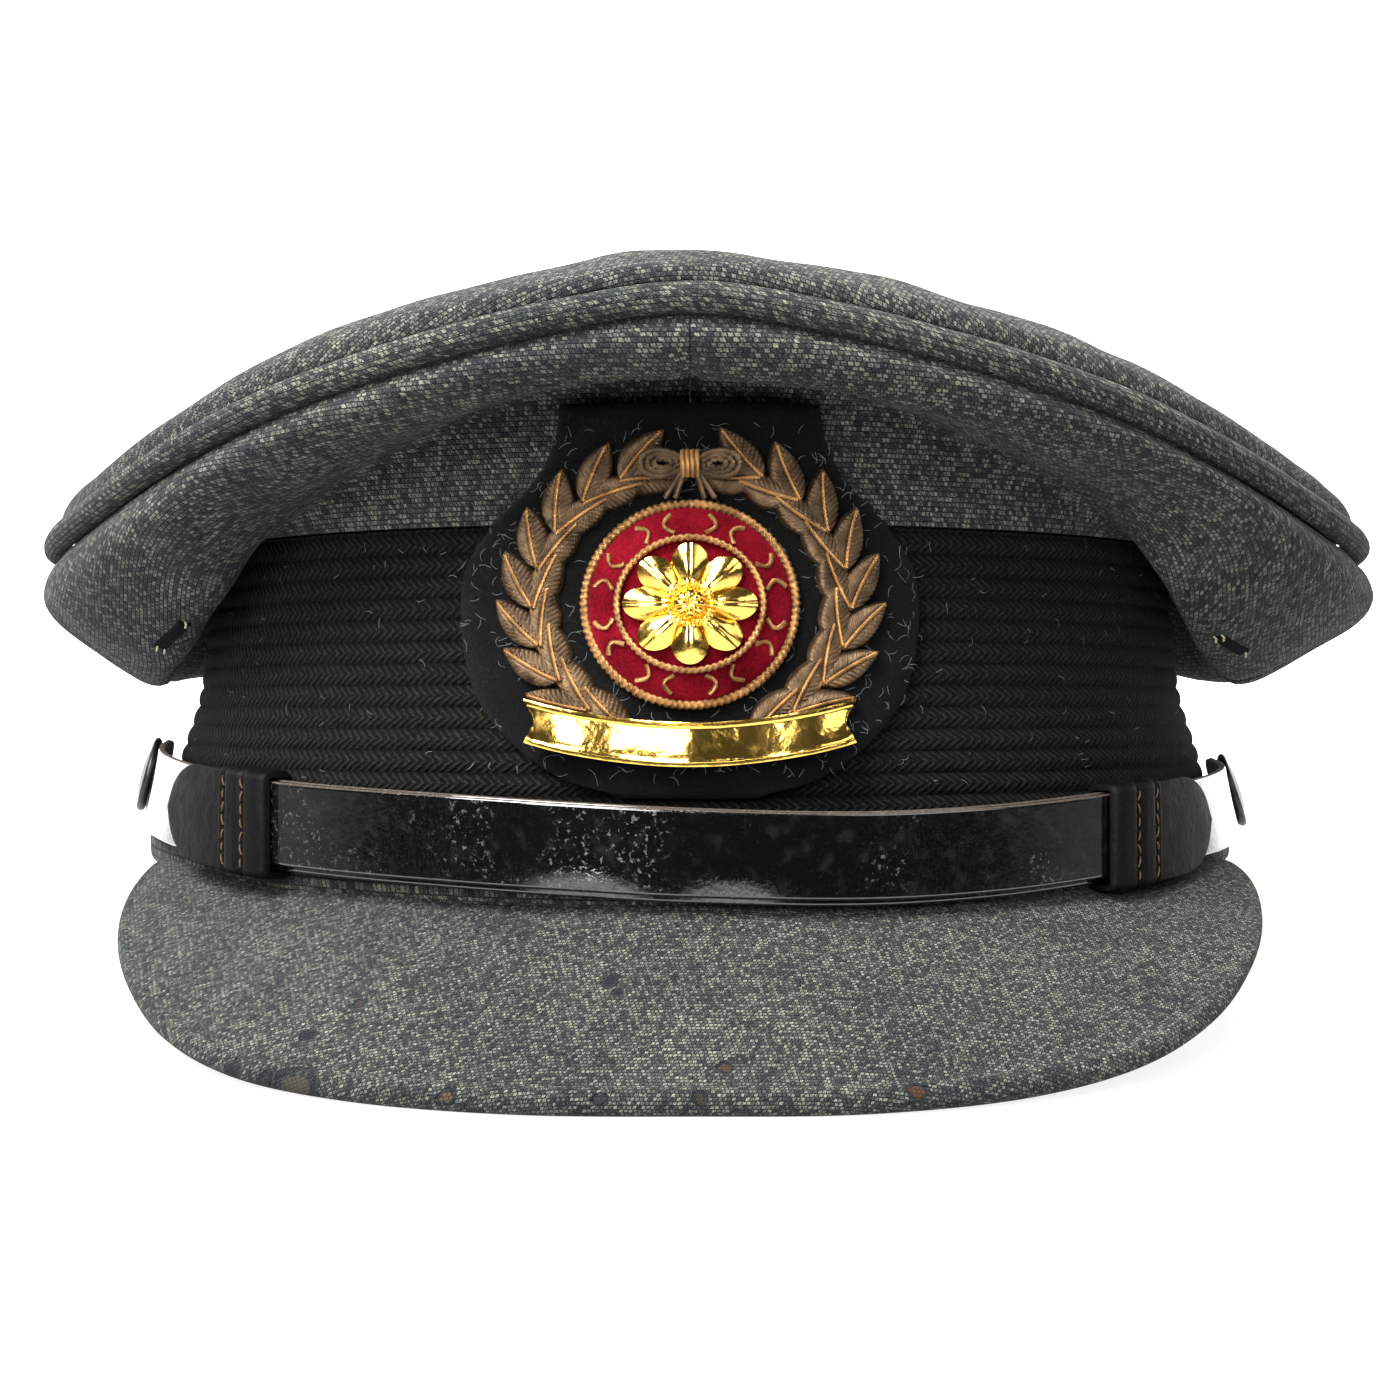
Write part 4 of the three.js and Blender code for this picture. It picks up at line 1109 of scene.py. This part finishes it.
def make_peak():
    count = 260
    root_angle = np.linspace(-PEAK_ROOT_ANGLE, PEAK_ROOT_ANGLE, count)
    grow = GAP + HEM_WALL - PEAK_TUCK
    root = oval(band_foot[0] + grow, band_foot[1] + grow, root_angle, foot_height(root_angle) - GAP)
    edge = peak_edge(root[0], root[-1], count)
    breadth = np.linalg.norm(edge - root, axis=-1)[:, None]
    nose = np.minimum(0.5, PEAK_WALL / 2 / np.maximum(breadth, PEAK_WALL))
    root[:, 2] += GAP - 0.05
    face = peak_face(root_angle, root, edge, breadth, nose)
    turn = np.linspace(np.pi / 2, -np.pi / 2, 15)[1:-1]
    last = face[:, -1:]
    tip = edge[:, None] - last
    tip[..., 2] = 0
    curl = last + tip * np.cos(turn)[None, :, None]
    wall = PEAK_WALL * np.clip(0.3 + breadth / 9, 0, 1)
    curl[..., 2] = last[..., 2] - wall * (1 - np.sin(turn)) / 2
    back = face - stack(0 * wall, 0 * wall, wall)
    slope = math.atan2(PEAK_DROP, PEAK_FRONT - band_foot[1])
    down = -face[..., 1] * math.cos(slope) - face[..., 2] * math.sin(slope)
    rim = down[:, -1:] + lengths(np.concatenate([last, curl], 1))[:, 1:]
    flat_u = np.concatenate([face[..., 0], curl[..., 0], back[:, ::-1, 0], face[:, :1, 0]], 1)
    flat_v = np.concatenate([down, rim, rim[:, -1:] + down[:, -1:] - down[:, ::-1], down[:, :1]], 1)
    loop = np.concatenate([face, curl, back[:, ::-1]], 1)
    piece = Piece()
    piece.grid(loop, np.stack([flat_u, flat_v], -1), loop=True)
    return piece.build("peak_cloth", [PEAK_WOOL], "peak")


# Strap, keepers and buttons


def strap_section(half, wall, corner=0.35):
    """Rounded section of a strap: places across from its middle and off its middle layer."""
    turn = np.linspace(0, np.pi / 2, 4)
    arc = np.stack([np.cos(turn), np.sin(turn)], -1) * corner
    rim = half - corner
    flat = np.linspace(rim, -rim, 9)[1:-1]
    top = np.concatenate([[rim, rim - 0.12], flat, [0.12 - rim, -rim]])
    right = arc + [rim, wall / 2 - corner]
    left = arc[::-1] * [-1, 1] + [-rim, wall / 2 - corner]
    upper = np.concatenate([right[:-1], np.stack([top, 0 * top + wall / 2], -1), left[1:]])
    return np.concatenate([upper, upper[::-1] * [1, -1]])


def strap_strip(piece, start, end, low, high, near, wall, curl, slots, tip=1.0):
    """Strip of leather on the strap's line, square at its start and round at its end. slots are
    the finishes of its face, its edge and back, and its lower edge, whose black on the strap
    is painted shade."""
    half = (high - low) / 2
    sign = np.sign(end - start)
    round_angle = math.degrees(half / band_foot[1]) * tip
    turn = np.radians(np.linspace(0, 90, 16))
    straight = np.arange(0, abs(end - start) - round_angle, 0.8)
    stations = np.concatenate([start + sign * straight, end - sign * round_angle * (1 - np.sin(turn))])
    reach = np.concatenate([np.ones(len(straight)), np.maximum(np.cos(turn), 0.04)])
    section = strap_section(half, wall)
    across = section[:, 0][None] * reach[:, None]
    rise = curl * (section[:, 0] / half) ** 2
    sag = np.exp(-(((stations + 8.5) / 4.5) ** 2)) + 0.9 * np.exp(-(((stations - 3.5) / 4) ** 2))
    rolled = np.clip((-section[:, 0] / half - 0.4) / 0.6, 0, 1) ** 2
    lift = near + wall / 2 + section[:, 1] + rise - (0.01 + 0.3 * sag)[:, None] * rolled
    middle = (low + high) / 2
    turns = np.broadcast_to(stations[:, None], across.shape)
    points = strap_point(turns, middle + across, lift)
    long = np.radians(stations) * (band_foot[0] + band_foot[1]) / 2
    wide = np.append(section[:, 0], section[0, 0])
    on_face = (section[:, 1] > wall / 2 - 0.05) & (np.abs(section[:, 0]) < half - 0.1)
    # The lower edge takes slots[2]: on the strap a black that is painted shade
    off_face = np.where(section[:, 0] < 0, slots[2], slots[1])
    columns = np.where(on_face, slots[0], off_face)
    piece.grid(points, flat_grid(long[:, None], wide[None]), loop=True, slots=columns)
    for end_row in (0, -1):
        centre = np.broadcast_to(points[end_row].mean(0), points[end_row].shape)
        cap = np.stack([points[end_row], centre])
        piece.grid(cap, flat_grid(np.zeros((2, 1)), wide[None]), loop=True, slots=slots[1])


def make_strap(name, node, side, low, high, near):
    piece = Piece()
    start = -side * KEEPER_LOOP_ANGLE
    end = side * STRAP_END_ANGLE
    strap_strip(piece, start, end, low, high, near, STRAP_WALL, 0.05, (0, 1, 2))
    # The lower edge's black is painted shade on the edge that faces down
    return piece.build(name, [PATENT, CUT, DARK_THREAD_AND_SHADE], node)


def keeper_path(low, high, near, far, corner):
    """Rounded rectangle round the strap: places across and off it."""
    turn = np.linspace(0, np.pi / 2, 6)
    path = []
    for quarter, (x, y) in enumerate(((high, far), (low, far), (low, near), (high, near))):
        bend = turn + quarter * np.pi / 2
        inside_x = x - corner * np.sign(x - (low + high) / 2)
        inside_y = y - corner * np.sign(y - (near + far) / 2)
        path.append(np.stack([inside_x + corner * np.cos(bend), inside_y + corner * np.sin(bend)], -1))
    return np.concatenate(path)


def sew_tab(piece, side, low, high, lift):
    """Two rows of stitches across the keeper, each stitch over a dark tube that is painted shade in its
    hole.
    """
    for row, place in enumerate(STITCH_ANGLES):
        for n in range(7):
            across = low + 1.6 + n * (high - low - 3.2) / 6
            lean = 0.14 * math.sin(n * 2.3 + row)
            ends = np.array([across - 0.7, across + 0.62 + 0.1 * math.sin(n * 1.7 + 2 * row)])
            hole = strap_point(np.full(2, side * place), ends, np.full(2, lift - 0.12))
            # The dark tube under each stitch is painted shade in its hole
            tube(piece, np.linspace(hole[0], hole[1], 4), 0.3, 8, slot=1)
            bent = lift + 0.18 * np.sin(np.linspace(0, np.pi, 7))
            turn = side * (place + lean * np.linspace(-1, 1, 7))
            tube(piece, strap_point(turn, np.linspace(*ends, 7), bent), 0.13, 6, slot=2)


def make_keeper(name, node, side):
    low = -UNDER_STRAP_SAG - GAP
    high = UNDER_STRAP_WIDTH - UNDER_STRAP_SAG + GAP
    plate = UPPER_FAR + GAP
    near, far = -GAP - KEEPER_WALL, plate + KEEPER_WALL
    outer = keeper_path(low - KEEPER_WALL, high + KEEPER_WALL, near, far, 1.4)
    inner = keeper_path(low, high, -GAP, plate, 0.4)
    breadth = np.linspace(-1, 1, 40)
    stations = side * np.linspace(KEEPER_INNER_ANGLE, KEEPER_LOOP_ANGLE, 40)
    shape = (len(outer), len(stations))
    turns = np.broadcast_to(stations, shape)
    # The edges are pulled in, and the leather puffs up between the rows of stitches
    inwards = np.array([(low + high) / 2, plate / 2]) - outer
    edge = breadth[:, None] ** 12 * 0.4
    pulled = outer[:, None] + inwards[:, None] / np.abs(inwards).max() * edge
    seams = sum(np.exp(-(((np.abs(stations) - place) / 0.42) ** 2)) for place in STITCH_ANGLES)
    over = np.clip((pulled[..., 1] - plate) / KEEPER_WALL, 0, 1)
    puff = (0.75 - 0.7 * seams) * (1 - breadth**6)
    face = strap_point(turns, pulled[..., 0], pulled[..., 1] + over * puff)
    back_across, back_lift = (np.broadcast_to(column[:, None], shape) for column in inner.T)
    back = strap_point(turns, back_across, back_lift)
    around = np.append(lengths(outer), lengths(outer)[-1] + 3)
    long = np.radians(np.abs(stations)) * 97
    piece = Piece()
    piece.wall(face, back, flat_grid(long[None], around[:, None]), ring=True)
    start, end = side * (STITCH_ANGLES[1] + 0.2), side * KEEPER_TAB_ANGLE
    low, high = low - KEEPER_WALL / 2, high + KEEPER_WALL / 2
    near = plate + KEEPER_WALL * 0.25
    strap_strip(piece, start, end, low, high, near, KEEPER_WALL, -0.25, (0, 0, 0), tip=1.4)
    sew_tab(piece, side, low, high, near + KEEPER_WALL)
    return piece.build(name, [DULL, DARK_THREAD_AND_SHADE, TAN_THREAD], node)


def make_button(name, node, side, lift):
    angle = np.array([side * BUTTON_ANGLE])
    foot, across, out = (vector[0] for vector in strap_frame(angle))
    middle = foot + across * STRAP_WIDTH / 2 + out * lift
    third = np.cross(out, across)
    outline = np.array(
        [
            (0, 0),
            (0.86, 0),
            (0.95, 0.12),
            (1, 0.35),
            (0.985, 0.55),
            (0.93, 0.7),
            (0.84, 0.74),
            (0.78, 0.7),
            (0.72, 0.74),
            (0.5, 0.93),
            (0.25, 0.99),
            (0, 1),
        ]
    )
    radius, height = outline[:, 0] * BUTTON_RADIUS, outline[:, 1] * BUTTON_HEIGHT
    turn = np.linspace(0, 2 * np.pi, 64, endpoint=False)[:, None, None]
    spoke = across * np.cos(turn) + third * np.sin(turn)
    points = middle + spoke * radius[None, :, None] + out * height[None, :, None]
    flat = flat_grid(np.linspace(0, 40, 65)[:, None], np.linspace(0, 8, len(outline))[None])
    piece = Piece()
    piece.grid(points, flat, ring=True)
    return piece.build(name, [BUTTON], node)


# Badge


def make_patch():
    height = np.linspace(0, 1, 70)
    half = PATCH_HALF_WIDTH * along(PATCH, "half", height)
    share = np.linspace(-1, 1, 40)
    x = half[:, None] * share
    z = np.broadcast_to((PATCH_FOOT + PATCH_HEIGHT * height)[:, None], x.shape)
    rim = np.minimum(1, (1 - np.abs(share)[None]) * half[:, None] / 1.2)
    rim = np.minimum(rim, np.minimum(height, 1 - height)[:, None] * PATCH_HEIGHT / 1.2)
    thick = 0.5 + (PATCH_WALL - 0.5) * np.sqrt(np.clip(rim * (2 - rim), 0, 1))
    thick = thick + 0.12 * ripple(x * 3, z * 3, 21) * rim
    piece = Piece()
    flat = np.stack([x, z], -1)
    piece.wall(badge_point(x, z, thick), badge_point(x, z, 0.1), flat)
    return piece.build("badge_felt", [FELT], "badge_patch")


def make_leaf(piece, x, z, heading, length, width, seat):
    """One embroidered leaf: slanting coils each side of a twisted midrib."""
    s = np.linspace(0, 1, 54)[:, None]
    c = np.linspace(-1, 1, 19)[None]
    half = width / 2 * np.sin(np.pi * np.clip(s, 0.02, 0.985) ** 0.85) ** 0.75
    ahead = np.array([math.sin(heading), math.cos(heading)])
    side = np.array([ahead[1], -ahead[0]])
    bend = 0.12 * length * (s - 0.5) ** 2
    px = x + ahead[0] * s * length + side[0] * (c * half + bend)
    pz = z + ahead[1] * s * length + side[1] * (c * half + bend)
    phase = (s * length - 0.75 * np.abs(c) * half) / 0.72
    coil = np.abs(np.sin(np.pi * phase)) ** 0.7
    dome = np.sqrt(np.clip(1 - c**2, 0, 1))
    groove = np.exp(-((c * half / 0.3) ** 2))
    lift = seat + 0.15 + 1.35 * dome**0.8 + 0.32 * coil * dome**0.3 - 0.35 * groove
    points = badge_point(px, pz, lift)
    flat = np.stack(np.broadcast_arrays(c * half + s * length * 0.3, s * length * 1.2), -1)
    piece.grid(points, flat)
    spine = s[2:-3, 0]
    line = badge_point(
        x + ahead[0] * spine * length + side[0] * bend[2:-3, 0],
        z + ahead[1] * spine * length + side[1] * bend[2:-3, 0],
        seat + 1.62,
    )
    tube(piece, line, 0.27, 8, twist=0.9, ply=0.22, slot=1)


def ring_place(turn, out=0.0):
    """Point on the wreath's middle line, across and up. turn is from the foot, in radians."""
    x = (WREATH_HALF_WIDTH - WREATH_BREADTH / 2 + out) * math.sin(turn)
    z = WREATH_CENTRE - (WREATH_HALF_HEIGHT - WREATH_BREADTH / 2 + out) * math.cos(turn)
    return x, z


def make_wreath():
    piece = Piece()
    seat = BADGE_SEAT - GAP + 0.1
    for side in (-1, 1):
        for n in range(9):
            turn = side * (0.4 + n * 0.285)
            x, z = ring_place(turn)
            follow = math.pi / 2 * side - turn
            for spread in (-1, 1):
                heading = follow + side * spread * 0.42
                make_leaf(piece, x, z, heading, 8.8, 4.5, seat + 0.12 * (spread > 0) + 0.02 * n)
        turns = side * np.linspace(0.3, 2.85, 60)
        places = np.array([ring_place(turn) for turn in turns])
        line = badge_point(places[:, 0], places[:, 1], seat + 1.0)
        tube(piece, line, 0.4, 8, twist=0.7, ply=0.2, slot=1)
    return piece.build("badge_leaves", [BRONZE, COPPER], "badge_wreath")


def make_cushion():
    turn = np.linspace(0, 2 * np.pi, 96, endpoint=False)[:, None]
    inward = np.linspace(0, 1, 26)[None]
    radius = (CUSHION_RADIUS - 0.5) * (1 - inward)
    x = radius * np.sin(turn)
    z = WREATH_CENTRE + radius * np.cos(turn)
    height = 0.4 + (CUSHION_HEIGHT - 0.4) * np.sqrt(np.clip(1 - (1 - inward) ** 2.4, 0, 1))
    height = height + 0.12 * ripple(x * 4, z * 4, 31) * np.minimum(1, inward * 5)
    face = badge_point(x, z, BADGE_SEAT - GAP + 0.1 + height)
    back = badge_point(x, z, BADGE_SEAT - GAP + 0.1)
    extended = np.stack([np.concatenate([x, x[:1]]), np.concatenate([z, z[:1]])], -1)
    piece = Piece()
    piece.wall(face, back, extended, ring=True)
    return piece.build("badge_velvet", [VELVET], "badge_cushion")


def make_cushion_cord():
    piece = Piece()
    for radius, size, lift in ((CUSHION_RADIUS - 0.3, 0.62, 0.7), (ROSETTE_RADIUS + 0.8, 0.42, 4.1)):
        turn = np.linspace(0, 2 * np.pi, 300, endpoint=False)
        x = radius * np.sin(turn)
        z = WREATH_CENTRE + radius * np.cos(turn)
        line = badge_point(x, z, BADGE_SEAT + lift)
        girth = 2 * np.pi * radius
        tube(piece, line, size, 10, twist=round(girth * 0.55) / girth, ply=0.24, closed=True)
    for n in range(16):
        turn = 2 * np.pi * (n + 0.5) / 16
        reach = np.linspace(ROSETTE_RADIUS + 1.6, CUSHION_RADIUS - 1.6, 10)
        bow = turn + 0.1 * np.sin(np.linspace(0, np.pi, 10)) * (-1) ** n
        inward = 1 - reach / (CUSHION_RADIUS - 0.5)
        dome = 0.4 + (CUSHION_HEIGHT - 0.4) * np.sqrt(1 - (1 - inward) ** 2.4)
        x, z = reach * np.sin(bow), WREATH_CENTRE + reach * np.cos(bow)
        line = badge_point(x, z, BADGE_SEAT - 0.05 + dome)
        tube(piece, line, 0.3, 8, twist=0.9, ply=0.2)
    return piece.build("badge_cords", [COPPER])


def make_rosette():
    turn = np.linspace(0, 2 * np.pi, 288, endpoint=False)[:, None]
    inward = np.linspace(0, 1, 40)[None]
    swell = np.abs(np.cos(turn * ROSETTE_PETALS / 2))
    rim = ROSETTE_RADIUS * (0.72 + 0.28 * swell**0.8)
    radius = rim * (1 - inward)
    share = radius / ROSETTE_RADIUS
    petal = np.sin(np.pi * np.clip((1 - inward) * 0.9, 0, 1)) ** 0.8 * (0.35 + 0.65 * swell)
    vein = 0.12 * np.exp(-((np.sin(turn * ROSETTE_PETALS / 2) * share * 9) ** 2))
    boss = np.sqrt(np.clip(1 - (share / 0.26) ** 2, 0, 1))
    beads = 0.25 * np.exp(-(((share - 0.32) / 0.05) ** 2)) * np.abs(np.sin(turn * 10))
    height = 0.35 + ROSETTE_THICKNESS * (0.9 * petal + 1.5 * boss + beads) - vein
    x = radius * np.sin(turn)
    z = WREATH_CENTRE + radius * np.cos(turn)
    seat = BADGE_SEAT + CUSHION_HEIGHT - 0.1
    extended = np.stack([np.concatenate([x, x[:1]]), np.concatenate([z, z[:1]])], -1)
    piece = Piece()
    piece.wall(badge_point(x, z, seat + height), badge_point(x, z, seat), extended, ring=True)
    return piece.build("badge_flower", [GILT], "badge_rosette")


def make_scroll():
    share = np.linspace(-1, 1, 120)[:, None]
    c = np.linspace(-1, 1, 25)[None]
    height = WREATH_CENTRE - WREATH_HALF_HEIGHT + WREATH_BREADTH / 2
    half = SCROLL_BREADTH / 2
    notch = 1.6 * np.clip((np.abs(share) - 0.93) / 0.07, 0, 1) * (1 - np.abs(c))
    x = share * SCROLL_HALF_WIDTH - np.sign(share) * notch
    z = height + SCROLL_DIP * share**2 + c * half
    wave = 0.55 * np.cos(share * 2.6 * np.pi)
    rail = 0.28 * np.exp(-(((np.abs(c) - 0.84) / 0.07) ** 2))
    lift = BADGE_SEAT + WREATH_THICKNESS + 0.25 + wave
    front = lift + SCROLL_THICKNESS * 0.75 + rail - 0.25 * c**2
    piece = Piece()
    flat = np.stack(np.broadcast_arrays(x, z), -1)
    piece.wall(badge_point(x, z, front), badge_point(x, z, lift), flat)
    return piece.build("badge_ribbon", [GILT], "badge_scroll")


def make_bow():
    piece = Piece()
    height = WREATH_CENTRE + WREATH_HALF_HEIGHT - WREATH_BREADTH / 2
    seat = BADGE_SEAT + WREATH_THICKNESS
    turn = np.linspace(0, 2 * np.pi, 60, endpoint=False)
    for side in (-1, 1):
        for shrink in (1, 0.68, 0.36):
            long = (BOW_HALF_WIDTH - 1) / 2
            x = side * (0.7 + long + long * shrink * np.cos(turn))
            z = height + 2.1 * shrink * np.sin(turn) * (0.6 + 0.4 * (x * side) / BOW_HALF_WIDTH)
            line = badge_point(x, z, seat + 0.5 + 0.3 * np.cos(turn))
            tube(piece, line, 0.42, 8, twist=0.55, ply=0.15, closed=True)
        for spread in (0.9, 1.7):
            fall = np.linspace(0, 1, 16)
            x = side * (0.4 + spread * 1.6 * fall)
            line = badge_point(x, height - 4.6 * fall, seat + 0.45 - 0.5 * fall)
            tube(piece, line, 0.38, 8, twist=0.55, ply=0.15)
    for n in range(4):
        x = -0.9 + n * 0.6
        rise = np.linspace(-1, 1, 12)
        line = badge_point(x + 0 * rise, height + 1.7 * rise, seat + 1.2 - 0.8 * rise**2)
        tube(piece, line, 0.36, 8, twist=0.55, ply=0.15, slot=1)
    return piece.build("badge_knot", [BRONZE, COPPER], "badge_bow")


# Loose fibres


def fibres(name, material, count, seed, pick, length, width):
    """Fine curved hairs that lie on a surface. pick gives a place and two level ways for each."""
    rng = np.random.default_rng(seed)
    piece = Piece()
    for _ in range(count):
        place, first, second, out = pick(rng)
        turn = rng.uniform(0, 2 * np.pi)
        way = first * math.cos(turn) + second * math.sin(turn)
        across = second * math.cos(turn) - first * math.sin(turn)
        long = length * rng.uniform(0.4, 1)
        t = np.linspace(0, 1, 6)[:, None]
        bow = long * rng.uniform(-1, 1) * (t - 0.5) ** 2
        arch = 0.12 + rng.uniform(0.1, 0.5) * np.sin(np.pi * t)
        line = place + way * long * (t - 0.5) + across * bow + out * arch
        sides = np.stack([line - across * width / 2, line + across * width / 2], 1)
        piece.grid(sides, np.zeros((6, 2, 2)))
    return piece.build(name, [material])


def on_patch(rng):
    while True:
        x = rng.uniform(-1, 1) * PATCH_HALF_WIDTH
        z = PATCH_FOOT + rng.uniform(0.05, 0.95) * PATCH_HEIGHT
        half = PATCH_HALF_WIDTH * along(PATCH, "half", (z - PATCH_FOOT) / PATCH_HEIGHT)
        if abs(x) < half:
            break
    place = badge_point(x, z, PATCH_WALL)
    out = unit(badge_point(x, z, PATCH_WALL + 1) - place)
    up = np.array([0, 0, 1.0])
    return place, np.cross(up, out), up, out


def on_band(rng):
    angle = rng.uniform(-75, 75)
    z = rng.uniform(16, BAND_HEIGHT - 1)
    place = band_point(np.array(angle), np.array(z), 0.35)
    out = outward(*band_foot, angle)
    up = np.array([0, 0, 1.0])
    return place, np.cross(up, out), up, out


# The whole cap

make_band()
make_hem()
quarters = [
    make_quarter("crown_front_left", "quarter_front_left", -SIDE_SEAM_ANGLE, 0),
    make_quarter("crown_front_right", "quarter_front_right", 0, SIDE_SEAM_ANGLE),
    make_quarter("crown_back_left", "quarter_back_left", -180, -SIDE_SEAM_ANGLE),
    make_quarter("crown_back_right", "quarter_back_right", SIDE_SEAM_ANGLE, 180),
]
make_welt()
top = make_top()
make_peak()
make_strap("strap_under", "strap_left", -1, -UNDER_STRAP_SAG, UNDER_STRAP_WIDTH - UNDER_STRAP_SAG, 0)
make_strap("strap_upper", "strap_right", 1, 0, STRAP_WIDTH, UPPER_NEAR)
make_keeper("keeper_loop_left", "keeper_left", -1)
make_keeper("keeper_loop_right", "keeper_right", 1)
make_button("side_button_left", "button_left", -1, STRAP_WALL + GAP)
make_button("side_button_right", "button_right", 1, UPPER_FAR + GAP)
make_patch()
make_wreath()
cushion = make_cushion()
make_cushion_cord()
make_rosette()
make_scroll()
make_bow()
fibres("patch_fibres", LINT, 600, 41, on_patch, 2.0, 0.04)
fibres("band_lint", LINT, 130, 42, on_band, 1.6, 0.05)

for panel in quarters[:2]:
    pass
for panel in quarters[2:]:
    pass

# Floor, light and camera


def make_stage():
    """White floor that sweeps up behind the cap and glows as painted light."""
    mesh = bpy.data.meshes.new("floor_sweep")
    bend = np.linspace(0, np.pi / 2, 16)
    curve = [(0.9 + 0.5 * math.sin(t), 0.5 - 0.5 * math.cos(t)) for t in bend]
    line = [(-0.9, 0), *curve, (1.4, 2.4)]
    points = [(x, y, z) for x in (-2.5, 2.5) for y, z in line]
    count = len(line)
    faces = [(n, n + 1, n + 1 + count, n + count) for n in range(count - 1)]
    mesh.from_pydata(points, [], faces)
    mesh.polygons.foreach_set("use_smooth", np.ones(len(faces), bool))
    r = Recipe("white_sweep", Roughness=0.9, Specular_IOR_Level=0.2)
    x, y = r.split(r.solid())
    # Greyer beside and in front of the cap, so that less light reaches its underside
    beside = r.math("SUBTRACT", r.math("ABSOLUTE", x), r.math("MULTIPLY", y, 0.245))
    beside = r.math("MULTIPLY", r.step(beside, 135, 420), r.math("SUBTRACT", 1.0, r.step(y, 200, 420)))
    dark = r.math("MAXIMUM", beside, r.math("SUBTRACT", 1.0, r.step(y, -560, -255)))
    # The floor's glow is painted light, brighter behind the cap
    behind = r.math("MULTIPLY_ADD", r.step(y, 90, 230), 1.5, 0.85)
    r.set(Base_Color=r.mix(dark, (128, 128, 128), (64, 64, 64)), Emission_Strength=behind)
    r.set(Emission_Color=r.mix(dark, (255, 255, 255), (40, 40, 40)))
    mesh.materials.append(r.material)
    sweep = bpy.data.objects.new("floor_sweep", mesh)
    bpy.context.scene.collection.objects.link(sweep)
    sweep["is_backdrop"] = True


def make_world():
    """Bright behind and above, dim on the camera's side."""
    world = bpy.data.worlds.new("studio")
    world.use_nodes = True
    bpy.context.scene.world = world
    nodes, links = world.node_tree.nodes, world.node_tree.links
    way = nodes.new("ShaderNodeTexCoord")
    parts = nodes.new("ShaderNodeSeparateXYZ")
    ramp = nodes.new("ShaderNodeMapRange")
    ramp.interpolation_type = "SMOOTHSTEP"
    for socket, value in zip(ramp.inputs[1:5], (-0.1, 0.5, 0.03, 1.8)):
        socket.default_value = value
    links.new(way.outputs["Generated"], parts.inputs[0])
    links.new(parts.outputs["Y"], ramp.inputs[0])
    links.new(ramp.outputs[0], nodes["Background"].inputs["Strength"])
    nodes["Background"].inputs["Color"].default_value = (1, 1, 1, 1)


def make_light(name, place, target, size, watts):
    data = bpy.data.lights.new(name, "AREA")
    data.shape = "RECTANGLE"
    data.size, data.size_y = size
    data.energy = watts
    lamp = bpy.data.objects.new(name, data)
    lamp.location = place
    lamp.rotation_euler = (Vector(target) - Vector(place)).to_track_quat("-Z", "Y").to_euler()
    bpy.context.scene.collection.objects.link(lamp)


def make_camera():
    """The photograph's view: level with the band's plane, so pitched down with the cap's rest."""
    data = bpy.data.cameras.new("photo_view")
    data.sensor_width = 36
    data.lens = data.sensor_width * PICTURE_FOCAL / PICTURE_SIDE
    data.shift_x = (PICTURE_SIDE / 2 - PICTURE_CENTRE) / PICTURE_SIDE
    data.clip_start, data.clip_end = 0.01, 20
    camera = bpy.data.objects.new("photo_view", data)
    turn = CAP_TO_ROW.to_quaternion() @ Matrix.Rotation(math.pi / 2, 4, "X").to_quaternion()
    camera.location = CAP_TO_ROW @ Vector((0, -CAMERA_DISTANCE, CAMERA_HEIGHT))
    camera.rotation_mode = "QUATERNION"
    camera.rotation_quaternion = turn
    bpy.context.scene.collection.objects.link(camera)
    bpy.context.scene.camera = camera


make_stage()
make_world()
make_light("key", (-0.55, -0.7, 1.1), (0, 0, 0.05), (0.7, 0.7), 58)
make_light("front", (-0.35, -1.0, 0.42), (0, 0, 0.05), (0.5, 0.4), 10)
make_light("fill", (0.7, -0.6, 0.6), (0, 0, 0.05), (0.6, 0.6), 3)
make_light("overhead", (0, 0.15, 1.3), (0, 0, 0), (1.2, 1.0), 27)
make_camera()
bpy.context.scene.view_settings.view_transform = "Standard"

corners = {"cad": cad_bounds, "looks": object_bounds()}
{name: [list(corner) for corner in pair] for name, pair in corners.items()}
